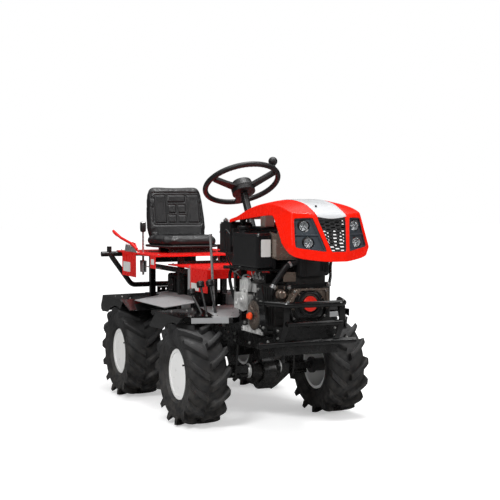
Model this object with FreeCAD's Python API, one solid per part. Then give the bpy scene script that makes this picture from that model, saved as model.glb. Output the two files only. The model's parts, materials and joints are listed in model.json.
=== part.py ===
import FreeCAD, Part
import math
import os

# Compact centre-pivot tractor. Millimetres, +X forward, +Y left, +Z up.
# Every station is measured from the centre pivot on the ground, half way between the
# axles; the whole machine is moved by TO_MID at export so the origin is at mid-length.

os.makedirs("parts", exist_ok=True)
V = FreeCAD.Vector

# ---- driving dimensions -------------------------------------------------------------
TO_MID = -110.0           # pivot station in the exported frame
CRUMB = 400.0             # offcuts below this many cubic mm are dropped
WHEELBASE = 877.0
AXLE_X = WHEELBASE / 2
TRACK = 735.0
TYRE_R = 241.5
TYRE_HALF = 102.0
RIM_R = 112.0
RIM_FLANGE_R = 121.0
BEAD_HALF = 70.0
TREAD_R = 222.0
LUGS_PER_SIDE = 14
LUG_CREST = 6.5           # degrees along the tread
LUG_FLANK = 2.0
LUG_SWEEP = 19.0          # how far a lug's outer end lags its inner end
DISH_OUT = 36.0           # outer face of the rim's dish from the wheel's middle
DISH_WALL = 4.0
HUB_REACH = 98.0          # inboard end of a hub from the wheel's middle
HUB_DEPTH = 12.0          # outboard end of a hub's bore from the wheel's middle
SPINDLE_R = 15.0
RUNNING = 0.05            # radial clearance of a running fit
END_PLAY = 5.0            # gap left beside every turning piece
PIVOT_R = 20.0
PIVOT_LOW = 262.0
PIVOT_HIGH = 466.0
YOKE_WALL = 20.0
RAIL_Y = 130.0
RAIL_W = 40.0
RAIL_LOW = 380.0
RAIL_HIGH = 440.0
RAIL_OUT = RAIL_Y + RAIL_W / 2
HANGER_LOW = 205.0
HANGER_WALL = 10.0
CRADLE_WALL = 10.0
GEARCASE_LOW = 400.0
SHEET = 3.0
FENDER_Z = 2 * TYRE_R + 34.0
FENDER_Y = TRACK / 2 + 93.5
FENDER_GAP = 6.0          # least distance from a fender's rim to the tread
LEFT_FENDER_END = AXLE_X + 52.0        # the left front fender is cut back at its front corner
PLATE_EDGE = FENDER_Z + SHEET + 7.0    # rear footplates ride over the front fenders
PLATE_Z = PLATE_EDGE + 18.0
CONSOLE_Z = 760.0
FRONT_CONSOLE_Z = 711.0
CONSOLE_SHEET = 8.0
SEAT_LOW = CONSOLE_Z + 36.0
TOWER_X = 438.0
TOWER_WALL = 30.0
TOWER_TOP = 940.0
NOSE_X = 895.0
NOSE_WALL = 14.0
COLUMN_TOP = (202.0, 0.0, 1150.0)      # middle of the steering wheel's rim
COLUMN_LEAN = 30.0        # degrees from upright
COLUMN_RUN = 286.0
COLUMN_R = 19.0
WHEEL_RIM_R = 188.0
GRIP_R = 13.5
HUB_DROP = 55.0           # how far the steering hub reaches below the rim
BUMPER_LOW = 426.0        # heights of the bumper's three bars
BUMPER_MID = 520.0
BUMPER_HIGH = 607.0
GUARD_X = -905.0
GUARD_R = 15.0


# ---- helpers ------------------------------------------------------------------------
def box(x0, x1, y0, y1, z0, z1):
    return Part.makeBox(x1 - x0, y1 - y0, z1 - z0, V(x0, y0, z0))


def rod(a, b, radius):
    start = V(*a)
    run = V(*b).sub(start)
    return Part.makeCylinder(radius, run.Length, start, run)


def cone(a, b, r0, r1):
    start = V(*a)
    run = V(*b).sub(start)
    return Part.makeCone(r0, r1, run.Length, start, run)


def slab(points, axis, low, high):
    spots = {"x": lambda p: V(low, p[0], p[1]),
             "y": lambda p: V(p[0], low, p[1]),
             "z": lambda p: V(p[0], p[1], low)}[axis]
    run = {"x": V(high - low, 0, 0), "y": V(0, high - low, 0), "z": V(0, 0, high - low)}[axis]
    ring = [spots(p) for p in points]
    return Part.Face(Part.makePolygon(ring + [ring[0]])).extrude(run)


def fused(shapes):
    whole = shapes[0].multiFuse(shapes[1:]) if len(shapes) > 1 else shapes[0]
    return whole.removeSplitter()


def mirrored(shape):
    return shape.mirror(V(0, 0, 0), V(0, 1, 0))


def pair(shape):
    return Part.makeCompound([shape, mirrored(shape)])


def tube(points, radius, bend):
    spots = [V(*p) for p in points]
    edges = []
    start = spots[0]
    for i in range(1, len(spots) - 1):
        a = spots[i].sub(spots[i - 1]).normalize()
        b = spots[i + 1].sub(spots[i]).normalize()
        turn = a.getAngle(b)
        reach = bend * math.tan(turn / 2)
        into = spots[i].sub(V(a).multiply(reach))
        out = spots[i].add(V(b).multiply(reach))
        inward = V(b).sub(a).normalize()
        crown = spots[i].add(inward.multiply(bend / math.cos(turn / 2) - bend))
        if start.distanceToPoint(into) > 0.01:
            edges.append(Part.makeLine(start, into))
        edges.append(Part.Arc(into, crown, out).toShape())
        start = out
    edges.append(Part.makeLine(start, spots[-1]))
    path = Part.Wire(edges)
    circle = Part.Wire(Part.makeCircle(radius, spots[0], spots[1].sub(spots[0])))
    return path.makePipeShell([circle], True, False)


def sections(rows):
    wires = []
    for row in rows:
        spots = [V(*p) for p in row]
        wires.append(Part.makePolygon(spots + [spots[0]]))
    return Part.makeLoft(wires, True, True)


def sewn(faces):
    shell = Part.Shell(faces)
    shell.sewShape()
    solid = Part.Solid(shell)
    if solid.Volume < 0:
        solid.reverse()
    return solid


def flat(points):
    return Part.Face(Part.makePolygon(points + [points[0]]))


def turned(profile, x, y, z):
    # (radius, y) profile turned about the line along Y through x, z
    ring = [V(x + r, y + w, z) for r, w in profile]
    face = Part.Face(Part.makePolygon(ring + [ring[0]]))
    return face.revolve(V(x, y, z), V(0, 1, 0), 360)


# ---- wheels -------------------------------------------------------------------------
def on_wheel(r, w, angle):
    # angle 0 is straight down; positive angles climb the forward face
    return V(r * math.sin(angle), w, -r * math.cos(angle))


def tread_row(hand, sweep, low, high):
    # four corners a lug: foot, crest, crest, foot; low and high are (radius, across)
    pitch = 2 * math.pi / LUGS_PER_SIDE
    shift = 0 if hand > 0 else pitch / 2
    row = []
    for i in range(LUGS_PER_SIDE):
        for gap, (r, w) in ((-LUG_FLANK, low), (0, high), (LUG_CREST, high),
                            (LUG_CREST + LUG_FLANK, low)):
            row.append(on_wheel(r, hand * w, i * pitch + shift + math.radians(sweep + gap)))
    return row


def wall_row(hand, sweep, r, w):
    pitch = 2 * math.pi / LUGS_PER_SIDE
    start = math.radians(sweep) + (0 if hand > 0 else pitch / 2)
    return [on_wheel(r, hand * w, start + i * pitch / 2) for i in range(2 * LUGS_PER_SIDE)]


def strip(a, b):
    faces = []
    count = len(a)
    for k in range(count):
        m = (k + 1) % count
        faces.append(flat([a[k], a[m], b[m]]))
        faces.append(flat([a[k], b[m], b[k]]))
    return faces


def narrowing(four, two):
    # joins a row of four corners a lug to a row of two
    faces = []
    for i in range(LUGS_PER_SIDE):
        h = [four[(4 * i + k) % len(four)] for k in range(5)]
        t = [two[(2 * i + k) % len(two)] for k in range(3)]
        for spots in ((t[0], h[0], h[1]), (t[0], h[1], t[1]), (h[1], h[2], t[1]),
                      (h[2], h[3], t[1]), (t[1], h[3], t[2]), (h[3], h[4], t[2])):
            faces.append(flat(list(spots)))
    return faces


def make_tyre():
    # closed ring of flat faces: a chevron tread with left and right lugs half a pitch apart
    faces = []
    centre = {}
    bead = {}
    late = LUG_SWEEP + 3
    for hand in (1, -1):
        middle = tread_row(hand, 0, (TREAD_R, 2), (TREAD_R, 2))
        inner = tread_row(hand, 0, (TREAD_R, 5), (TYRE_R, 8))
        waist = tread_row(hand, 0.4 * LUG_SWEEP, (TREAD_R - 2, 50), (TYRE_R - 0.5, 51))
        outer = tread_row(hand, LUG_SWEEP, (TREAD_R - 9, 86), (TYRE_R - 3, TYRE_HALF))
        wall = tread_row(hand, late, (TREAD_R - 24, 97), (TREAD_R - 26, 99))
        bulge = wall_row(hand, late, TREAD_R - 70, 95)
        heel = wall_row(hand, late, RIM_FLANGE_R + 2, BEAD_HALF)
        foot = wall_row(hand, late, RIM_R + 0.8, BEAD_HALF)
        faces += strip(middle, inner) + strip(inner, waist) + strip(waist, outer)
        faces += strip(outer, wall) + narrowing(wall, bulge)
        faces += strip(bulge, heel) + strip(heel, foot)
        centre[hand] = middle
        bead[hand] = foot
    faces += strip(centre[1][2:] + centre[1][:2], centre[-1])
    faces += strip(bead[1][1:] + bead[1][:1], bead[-1])
    return sewn(faces)


def make_rim(side):
    # side is +1 for the left wheels and -1 for the right wheels
    face = BEAD_HALF + 3
    profile = [(RIM_R - 5, -face), (RIM_FLANGE_R, -face), (RIM_FLANGE_R, -BEAD_HALF),
               (RIM_R, -BEAD_HALF), (RIM_R, BEAD_HALF), (RIM_FLANGE_R, BEAD_HALF),
               (RIM_FLANGE_R, face), (RIM_R - 5, face), (RIM_R - 8, DISH_OUT + 16),
               (62, DISH_OUT + 2), (0, DISH_OUT), (0, DISH_OUT - DISH_WALL),
               (64, DISH_OUT - DISH_WALL + 2), (RIM_R - 6, DISH_OUT + 8)]
    return turned([(r, w * side) for r, w in profile], 0, 0, 0)


def make_hub(side):
    seat = (DISH_OUT - DISH_WALL) * side
    barrel = rod((0, -HUB_REACH * side, 0), (0, seat, 0), 32)
    collar = rod((0, -HUB_REACH * side, 0), (0, (15 - HUB_REACH) * side, 0), 40)
    bore = rod((0, -(HUB_REACH + 1) * side, 0), (0, HUB_DEPTH * side, 0), SPINDLE_R + RUNNING)
    parts = [barrel, collar, rod((0, seat - 5 * side, 0), (0, seat, 0), 44)]
    for i in range(5):
        a = 2 * math.pi * i / 5
        x = 45 * math.sin(a)
        z = 45 * math.cos(a)
        parts.append(rod((x, seat - 5 * side, z), (x, seat, z), 13))
        parts.append(rod((x, seat - 12 * side, z), (x, seat - 5 * side, z), 8))
    return fused(parts).cut(bore)


# ---- front half ---------------------------------------------------------------------
def hanger(x):
    outline = [(x - 60, RAIL_HIGH), (x + 60, RAIL_HIGH), (x + 60, RAIL_LOW),
               (x + 35, HANGER_LOW), (x - 35, HANGER_LOW), (x - 60, RAIL_LOW)]
    return pair(slab(outline, "y", RAIL_OUT, RAIL_OUT + HANGER_WALL))


def make_front_chassis():
    rail = box(112, NOSE_X + 10, RAIL_Y - RAIL_W / 2, RAIL_OUT, RAIL_LOW, RAIL_HIGH)
    yoke = box(100, 116, -RAIL_OUT, RAIL_OUT, PIVOT_LOW, PIVOT_HIGH + 4)
    ears = []
    for z in (PIVOT_LOW, PIVOT_HIGH - YOKE_WALL):
        ears.append(slab([(112, 90), (112, -90), (0, -38), (0, 38)], "z", z, z + YOKE_WALL))
        ears.append(rod((0, 0, z), (0, 0, z + YOKE_WALL), 38))
    nose = box(NOSE_X, NOSE_X + NOSE_WALL, -160, 160, RAIL_LOW - 8, RAIL_HIGH + 60)
    cross = box(520, 560, -RAIL_OUT, RAIL_OUT, RAIL_LOW + 5, RAIL_HIGH - 5)
    cradle = box(600, 880, -RAIL_OUT, RAIL_OUT, RAIL_HIGH, RAIL_HIGH + CRADLE_WALL)
    side = slab([(330, RAIL_LOW - 4), (640, RAIL_LOW - 4), (662, 420), (662, 507), (600, 507),
                 (447, 470), (330, 470)], "y", RAIL_OUT, RAIL_OUT + 8)
    frame = fused([rail, mirrored(rail), yoke, nose, cross, cradle, side, mirrored(side)]
                  + ears + hanger(AXLE_X).Solids)
    return frame.cut(rod((0, 0, PIVOT_LOW - 12), (0, 0, PIVOT_HIGH + 14), PIVOT_R))


def make_pivot_pin():
    head = rod((0, 0, PIVOT_HIGH), (0, 0, PIVOT_HIGH + 8), 30)
    return fused([rod((0, 0, PIVOT_LOW), (0, 0, PIVOT_HIGH), PIVOT_R), head])


def make_front_tower():
    front = TOWER_X + TOWER_WALL
    post = box(TOWER_X, front, 92, 122, RAIL_HIGH, TOWER_TOP)
    foot = box(TOWER_X - 8, front + 8, 92, RAIL_OUT, RAIL_HIGH, RAIL_HIGH + 8)
    horn = box(TOWER_X + 2, front - 2, 96, 118, TOWER_TOP, TOWER_TOP + 45)
    cap = box(TOWER_X, front, -92, 92, TOWER_TOP - 25, TOWER_TOP)
    dash = box(TOWER_X + 6, TOWER_X + 14, -92, 92, TOWER_TOP - 180, TOWER_TOP - 25)
    shelf = box(front, 820, -205, -88, 745, 753)
    ear = box(TOWER_X, front, -205, -122, 738, 753)
    brace = slab([(front, 620), (front, 645), (660, 745), (700, 745)], "y", -120, -112)
    tray = box(262, TOWER_X, -158, -24, 808, 816)
    wing = slab([(275, 808), (TOWER_X, 808), (TOWER_X, 700), (TOWER_X - 14, 700)], "y", -122, -114)
    ledge = box(front, 650, -85, 5, TOWER_TOP - 10, TOWER_TOP - 2)
    spine = box(front - 4, 1058, 20, 44, TOWER_TOP - 4, TOWER_TOP + 20)
    cross = box(1046, 1058, -172, 172, TOWER_TOP, TOWER_TOP + 20)
    return fused([post, mirrored(post), foot, mirrored(foot), horn, mirrored(horn), cap, dash,
                  shelf, ear, brace, tray, wing, ledge, spine, cross])


def make_engine_block():
    low = RAIL_HIGH + CRADLE_WALL
    crank = box(600, 872, -140, 140, low, 690)
    crank = crank.makeFillet(22, [e for e in crank.Edges if e.Length > 250])
    cylinder = box(640, 850, -70, 110, 690, 700)
    fins = [box(636, 846, -78, 118, z, z + 6) for z in range(706, 830, 14)]
    core = box(655, 830, -62, 100, 690, 835)
    head = box(640, 842, -72, 112, 832, 875)
    shroud = box(848, 868, -80, 120, 680, 742)
    shroud = shroud.makeFillet(8, shroud.Edges)
    cover = rod((712, -164, 540), (712, -130, 540), 86)
    ring = rod((712, -172, 540), (712, -164, 540), 70)
    lobe = rod((606, -174, 598), (606, -125, 598), 42)
    second = rod((548, -169, 588), (548, -115, 588), 34)
    web = box(532, 640, -165, -118, 567, 621)
    clutch = box(520, 612, -109, 110, 471, 651)
    boss = rod((606, -182, 598), (606, -174, 598), 16)
    cap = rod((707, -186, 535), (707, -172, 535), 14)
    sump = box(560, 780, -156, -130, low + 2, low + 34)
    pump = box(625, 752, -131, -60, 680, 728)
    fittings = [rod((x, -142, 711), (x, -125, 711), 9) for x in (650, 690, 730)]
    manifold = box(692, 802, 104, 168, 839, 869)
    return fused([crank, cylinder, core, head, shroud, cover, ring, lobe, second, web, clutch,
                  boss, cap, sump, pump, manifold] + fins + fittings)


def make_fan_housing():
    outline = [(-102, 612), (-60, 522), (52, 517), (90, 555), (99, 616), (94, 671), (-64, 672)]
    middle = (0, 604)
    pocket = [(y + 0.12 * (middle[0] - y), z + 0.12 * (middle[1] - z)) for y, z in outline]
    body = slab(outline, "x", 872, 940).cut(slab(pocket, "x", 932, 941))
    ring = rod((930, 0, 604), (946, 0, 604), 54).cut(rod((940, 0, 604), (947, 0, 604), 46))
    disc = rod((938, 0, 604), (946, 0, 604), 34)
    bar = slab([(-107, 669), (121, 677), (121, 693), (-107, 685)], "x", 892, 908)
    bolts = [rod((908, y, z), (916, y, z), 7) for y, z in ((-92, 678), (106, 685))]
    ribs = []
    for degrees in range(20, 360, 40):
        a = math.radians(degrees)
        ribs.append(rod((934, 50 * math.cos(a), 604 + 50 * math.sin(a)),
                        (934, 72 * math.cos(a), 604 + 72 * math.sin(a)), 3))
    return fused([body, ring, disc, bar] + bolts + ribs)


def make_fuel_tank():
    body = box(530, 810, -200, -100, 753, 917)
    body = body.makeFillet(14, body.Edges)
    neck = rod((560, -150, 915), (560, -150, 932), 26)
    return fused([body, neck, rod((560, -150, 932), (560, -150, 946), 31)])


def make_air_filter():
    body = box(830, 900, -20, 120, 725, 806)
    body = body.makeFillet(16, [e for e in body.Edges if abs(e.Length - 70) < 1])
    band = box(836, 906, -30, -2, 720, 811)
    band = band.makeFillet(8, band.Edges)
    slots = [box(894, 901, y, y + 4, 742, 790) for y in (76, 84, 92, 100, 108)]
    hose = tube([(868, -24, 786), (866, -78, 776), (862, -145, 679), (860, -150, 640)], 12, 40)
    muffler = rod((872, -118, 646), (905, -118, 646), 20)
    return fused([body, band, hose, muffler]).cut(Part.makeCompound(slots))


def make_battery():
    body = box(270, 400, -150, -32, 816, 950)
    lid = box(274, 396, -146, -36, 950, 958)
    return fused([body, lid])


def make_bottle():
    body = box(570, 625, -72, -20, 938, 998)
    return fused([body.makeFillet(8, body.Edges), rod((597, -46, 996), (597, -46, 1010), 14)])


# station, half width, half width of the crown, lower edge, shoulder and crown heights
HOOD = [(392, 152, 122, 958, 972, 977), (470, 150, 112, 970, 984, 991),
        (600, 158, 71, 980, 1020, 1036), (750, 164, 71, 992, 1050, 1066),
        (900, 170, 71, 1004, 1053, 1073), (1020, 172, 71, 1000, 1030, 1052),
        (1080, 168, 71, 990, 1006, 1028), (1128, 76, 71, 990, 1003, 1008)]


def make_hood_top():
    t = 5
    rows = []
    for x, w, yc, low, edge, top in HOOD:
        right = [(x, -w, low), (x, -w, edge), (x, -yc, top)]
        left = [(x, yc, top), (x, w, edge), (x, w, low)]
        inside = [(x, w - t, low), (x, w - t, edge - t), (x, yc - 1, top - t),
                  (x, -yc + 1, top - t), (x, -w + t, edge - t), (x, -w + t, low)]
        rows.append(right + left + inside)
    return sections(rows)


# the mask leans forward as it goes down: height, then three points of its outline in plan,
# beside the grille, at the corner and at the rear of the cheek
MASK = [(1008, 1128, 71, 1086, 168, 930, 170), (985, 1137, 75, 1092, 174, 950, 175),
        (862, 1195, 42, 1128, 190, 1074, 196), (838, 1207, 35, 1134, 191, 1100, 195),
        (806, 1203, 34, 1172, 104, 1160, 128)]
MASK_REACH = (1060, 1260)  # stations that cuts through the mask run between


def mask(shift, thick):
    rows = []
    for z, xi, yi, xc, yc, xr, yr in MASK:
        right = [(xr, -yr + shift, z), (xc - shift, -yc + shift, z), (xi - shift, -yi, z)]
        left = [(x, -y, zz) for x, y, zz in reversed(right)]
        inner = [(xr, yr - shift - thick, z), (xc - shift - thick, yc - shift - thick, z),
                 (xi - shift - thick, yi, z)]
        other = [(x, -y, zz) for x, y, zz in reversed(inner)]
        rows.append(right + left + inner + other)
    return sections(rows)


GRILLE = [(-71, 994), (71, 994), (36, 848), (-36, 848)]
BEZEL = [(89, 994), (164, 990), (176, 866), (54, 848)]
POCKET = [(95, 988), (158, 984), (170, 872), (62, 856)]


def make_hood():
    shell = mask(0, 6).fuse(make_hood_top())
    shell = shell.cut(slab(GRILLE, "x", *MASK_REACH))
    window = slab(BEZEL, "x", *MASK_REACH)
    return shell.cut(window).cut(mirrored(window))


def make_stripe():
    rows = []
    for x, w, yc, low, edge, top in HOOD[2:]:
        rows.append([(x, -yc, top), (x, yc, top), (x, yc - 1, top + 2.5), (x, -yc + 1, top + 2.5)])
    return sections(rows)


def make_grille():
    layer = mask(2, 12).common(slab(GRILLE, "x", *MASK_REACH))
    (wide, top), (narrow, base) = GRILLE[1:3]
    slots = []
    for k in range(9):
        z = base + 10 + 15 * k
        half = narrow - 8 + (z - base) * (wide - narrow) / (top - base)
        slots.append(box(*MASK_REACH, -half, -2, z, z + 8))
        slots.append(box(*MASK_REACH, 2, half, z, z + 8))
    return layer.cut(Part.makeCompound(slots))


def lamp_spots():
    return [(124, 957, 1117), (117, 886, 1147)]


def make_bezels():
    layer = mask(1, 16).common(slab(BEZEL, "x", *MASK_REACH))
    pocket = mask(-20, 26).common(slab(POCKET, "x", *MASK_REACH))
    divider = slab([(50, 915), (190, 918), (190, 924), (50, 921)], "x", *MASK_REACH)
    layer = layer.cut(pocket.cut(divider))
    for y, z, x in lamp_spots():
        layer = layer.cut(rod((MASK_REACH[0] - 20, y, z), (MASK_REACH[1], y, z), 25))
    return pair(layer)


def make_lamps():
    lamps = []
    for y, z, x in lamp_spots():
        lamps.append(fused([rod((x - 40, y, z), (x, y, z), 25), rod((x, y, z), (x + 5, y, z), 22)]))
        lamps.append(mirrored(lamps[-1]))
    return Part.makeCompound(lamps)


def bent_strap(bow, thick, y0, y1):
    # flat bar bowed along the arc through three (x, z) points of its front face
    front = [V(x, y0, z) for x, z in bow]
    back = [V(x - thick, y0, z - thick / 3) for x, z in bow]
    edges = [Part.Arc(*front).toShape(), Part.makeLine(front[2], back[2]),
             Part.Arc(*back).toShape(), Part.makeLine(back[0], front[0])]
    return Part.Face(Part.Wire(edges)).extrude(V(0, y1 - y0, 0))


def make_front_bumper():
    bar_x = NOSE_X + NOSE_WALL + 13
    low = rod((bar_x, -245, BUMPER_LOW), (bar_x, 245, BUMPER_LOW), 14)
    bends = [(850, -202), (1000, -142), (1000, 142), (850, 202)]
    high = tube([(x, y, BUMPER_HIGH) for x, y in bends], 14, 40)
    mid = rod((988, -138, BUMPER_MID), (988, 138, BUMPER_MID), 10)
    strap = bent_strap([(988, BUMPER_HIGH), (985, BUMPER_MID + 16), (bar_x, BUMPER_LOW)], 6, -154, -126)
    upright = slab([(809, 687), (866, 687), (923, 480), (862, 480)], "y", -204, -198)
    short = slab([(831, BUMPER_HIGH), (888, BUMPER_HIGH), (923, 480), (862, 480)], "y", 198, 204)
    tab = box(862, 920, -200, -160, 480, 488)
    return fused([low, high, mid, strap, mirrored(strap), upright, short, tab,
                  mirrored(tab)])


def column_axis():
    lean = math.radians(COLUMN_LEAN)
    return V(-math.sin(lean), 0, math.cos(lean))


def down_column(run):
    spot = V(*COLUMN_TOP).sub(column_axis().multiply(run))
    return (spot.x, spot.y, spot.z)


def make_steering_column():
    column = rod(down_column(COLUMN_RUN), down_column(HUB_DROP + END_PLAY), COLUMN_R)
    shaft = rod(down_column(HUB_DROP + END_PLAY), down_column(HUB_DROP - 30), 9)
    foot = down_column(COLUMN_RUN - 20)
    clamp = box(foot[0] - 14, TOWER_X, -20, 20, foot[2] - 14, foot[2] + 14)
    return fused([column, shaft, clamp])


def make_steering_wheel():
    axis = column_axis()
    base = V(*COLUMN_TOP)
    ahead = V(axis.z, 0, -axis.x)

    def lifted(run):
        return V(base).add(V(axis).multiply(run))

    def outward(degrees):
        a = math.radians(degrees)
        return V(ahead).multiply(math.cos(a)).add(V(0, 1, 0).multiply(math.sin(a)))

    rim = Part.makeTorus(WHEEL_RIM_R, GRIP_R, base, axis)
    cup = Part.makeCylinder(59, 25, lifted(-HUB_DROP), axis)
    crown = Part.makeCone(59, 49, 38, lifted(25 - HUB_DROP), axis)
    parts = [rim, cup, crown]
    for degrees in (47, 167, 287):
        along = outward(degrees)
        start = lifted(-26).add(V(along).multiply(45))
        end = V(base).add(V(along).multiply(WHEEL_RIM_R))
        parts.append(rod((start.x, start.y, start.z), (end.x, end.y, end.z), 12.5))
    grip = V(base).add(outward(44).multiply(WHEEL_RIM_R))
    parts.append(Part.makeCylinder(7, 40, grip, axis))
    parts.append(Part.makeSphere(23, V(grip).add(V(axis).multiply(50))))
    socket = Part.makeCylinder(9 + RUNNING, 30 + END_PLAY + 1, lifted(-HUB_DROP - 1), axis)
    return fused(parts).cut(socket)


def make_axle():
    # about the wheels' centre line, with the drop case on the left
    inboard = TRACK / 2 - HUB_REACH - END_PLAY
    drum = rod((0, -24, -15), (0, 42, -15), 85)
    left = cone((0, 42, -10), (0, 80, 0), 58, 40)
    right = cone((0, -24, -10), (0, -62, -5), 58, 40)
    bosses = [rod((0, 78, 3), (0, 89, 3), 33), rod((0, -71, -7), (0, -60, -7), 33)]
    case = slab([(40, 20), (141, 17), (136, -35), (67, -88), (43, -101), (40, -101)], "x", -24, 24)
    beam = box(-18, 18, 0, inboard, -14, 22)
    spindle = rod((0, inboard - 1, 0), (0, TRACK / 2 + HUB_DEPTH - END_PLAY, 0), SPINDLE_R)
    low = rod((0, 0, -27), (0, inboard - 20, -27), 10)
    neck = box(-45, 45, -30, 45, 40, GEARCASE_LOW - TYRE_R)
    return fused([drum, neck, left, right, case, beam, mirrored(beam), spindle,
                  mirrored(spindle), low, mirrored(low)] + bosses)


def over_tyre(x, first, last, count):
    # rim of a fender: (x, z) points on a circle round the axle at x, degrees from straight up
    r = TYRE_R + FENDER_GAP
    angles = [math.radians(first + (last - first) * k / (count - 1)) for k in range(count)]
    return [(x + r * math.sin(a), TYRE_R + r * math.cos(a)) for a in angles]


def make_front_fenders():
    high = FENDER_Z + SHEET
    top = slab([(203, -FENDER_Y), (90, -190), (493, -278), (515, -FENDER_Y)], "z", FENDER_Z, high)
    rim = [(203, high), (103, 441), (130, 436)] + over_tyre(AXLE_X, -36, 12, 7) + [(550, high)]
    skirt = slab(rim, "y", -FENDER_Y - SHEET, -FENDER_Y)
    right = fused([top, skirt])
    left = mirrored(right).cut(box(LEFT_FENDER_END, 560, 200, FENDER_Y + SHEET, 400, high))
    return Part.makeCompound([right, left])


def make_front_footplates():
    low = FENDER_Z - SHEET
    plate = slab([(17, 0), (79, -180), (540, -302), (571, -234), (558, -181), (376, -78),
                  (236, -23), (236, 0)], "z", low, FENDER_Z)
    edge = [(512, -400), (540, -302), (571, -234)]
    apron = slab(edge + [(x - SHEET, y) for x, y in edge[::-1]], "z", 2 * TYRE_R + 5, low)
    leg = box(300, 340, -RAIL_OUT, -112, RAIL_HIGH, low)
    half = [plate, apron, leg]
    return fused(half + [mirrored(piece) for piece in half])


def make_pedals():
    parts = []
    for x, y, z in ((292, -262, 640), (300, -215, 645), (240, -288, 600)):
        parts.append(rod((366, y, FENDER_Z - 0.5), (x, y, z), 6))
        parts.append(rod((x, y, z), (x - 8, y, z + 20), 19))
    lever = rod((290, -190, FENDER_Z), (268, -200, 892), 5)
    return Part.makeCompound([fused(parts[0:2]), fused(parts[2:4]), fused(parts[4:6]), lever])


# ---- rear half ----------------------------------------------------------------------
def make_rear_chassis():
    rail = box(-850, -112, RAIL_Y - RAIL_W / 2, RAIL_OUT, RAIL_LOW, RAIL_HIGH)
    wall = box(-116, -100, -RAIL_OUT, RAIL_OUT, 290, 470)
    tongue = PIVOT_LOW + YOKE_WALL + END_PLAY
    reach = PIVOT_HIGH - YOKE_WALL - END_PLAY
    knuckle = rod((0, 0, tongue), (0, 0, reach), 36)
    arm = box(-112, -20, -34, 34, tongue + 12, reach - 12)
    tail = box(-850, -836, -RAIL_OUT, RAIL_OUT, RAIL_LOW - 8, RAIL_HIGH + 80)
    parts = [wall, knuckle, arm, tail]
    for y in (RAIL_OUT - 38, -RAIL_OUT + 8):
        parts += [box(-340, -310, y, y + 30, RAIL_HIGH - 10, CONSOLE_Z),
                  box(-800, -770, y, y + 30, RAIL_HIGH - 10, CONSOLE_Z),
                  box(-116, -86, y, y + 30, RAIL_HIGH - 10, FRONT_CONSOLE_Z),
                  box(-772, -100, y, y + 30, 668, 692)]
    for x in (-340, -800):
        parts.append(box(x, x + 30, -142, 142, 700, 730))
    stand = box(-610, -575, -RAIL_OUT, -112, RAIL_HIGH - 1, PLATE_EDGE)
    parts += [rail, mirrored(rail), stand, mirrored(stand)] + hanger(-AXLE_X).Solids
    return fused(parts).cut(rod((0, 0, 240), (0, 0, 480), PIVOT_R + RUNNING))


def make_rear_gearbox():
    case = box(-600, -345, -105, 105, GEARCASE_LOW, 650)
    case = case.makeFillet(15, [e for e in case.Edges if e.Length > 200])
    nose = cone((-346, 0, 560), (-242, 0, 560), 78, 56)
    lid = box(-560, -420, -70, 70, 649, 664)
    cover = rod((-520, -112, 590), (-520, -104, 590), 42)
    ribs = [box(x, x + 8, -111, 111, GEARCASE_LOW + 30, 630) for x in (-470, -430, -390)]
    return fused([case, nose, lid, cover] + ribs)


def eight_sided(x0, x1, half, z, cut):
    return [(x0 + cut, -half, z), (x1 - cut, -half, z), (x1, -half + 2 * cut, z),
            (x1, half - 2 * cut, z), (x1 - cut, half, z), (x0 + cut, half, z),
            (x0, half - 2 * cut, z), (x0, -half + 2 * cut, z)]


def make_seat():
    side = [(-448, -105), (-456, -138), (-500, -172), (-600, -196), (-690, -203), (-735, -190)]
    outline = side + [(x, -y) for x, y in side[::-1]]
    cushion = slab(outline, "z", SEAT_LOW, SEAT_LOW + 66)
    cushion = cushion.makeFillet(14, [e for e in cushion.Edges if abs(e.BoundBox.ZLength) < 1])
    back = sections([eight_sided(-752, -690, 166, 846, 18), eight_sided(-764, -696, 184, 900, 20),
                     eight_sided(-784, -724, 182, 1010, 20), eight_sided(-796, -742, 174, 1090, 18),
                     eight_sided(-800, -752, 158, 1130, 16), eight_sided(-796, -762, 128, 1146, 12)])
    return cushion.fuse(back)


def make_seat_console():
    high = CONSOLE_Z + CONSOLE_SHEET
    top = box(-930, -250, -300, 300, CONSOLE_Z, high)
    flap = box(-812, -572, -303, -300, 630, high)
    second = box(-330, -250, -303, -300, 697, high)
    edge = box(-930, -927, -300, 300, CONSOLE_Z - 14, high)
    risers = [box(-700, -670, -120, 120, high, SEAT_LOW),
              box(-530, -500, -120, 120, high, SEAT_LOW)]
    return fused([top, flap, mirrored(flap), second, mirrored(second), edge] + risers)


def make_front_console():
    high = FRONT_CONSOLE_Z + 6
    top = box(-330, 232, -200, 200, FRONT_CONSOLE_Z, high)
    flap = box(4, 232, -203, -200, 600, high)
    front = box(229, 232, -200, 200, 672, high)
    return fused([top, flap, mirrored(flap), front])


def make_rear_guard():
    bar = rod((GUARD_X, -400, 748), (GUARD_X, 400, 748), GUARD_R)
    loop = tube([(GUARD_X, -345, 748), (GUARD_X, -330, 722), (GUARD_X, -215, 563),
                 (GUARD_X, 215, 563), (GUARD_X, 330, 722), (GUARD_X, 345, 748)], GUARD_R, 45)
    arm = rod((GUARD_X, 90, 563), (-845, 90, 480), 14)
    stay = rod((GUARD_X, 200, 748), (-785, 130, 745), 12)
    post = box(GUARD_X - 6, GUARD_X + 6, 89, 104, 563, 748)
    stub = rod((GUARD_X, 352, 748), (GUARD_X, 352, 792), 14)
    return fused([bar, loop, arm, mirrored(arm), stay, mirrored(stay), post, mirrored(post),
                  stub, mirrored(stub)])


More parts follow.
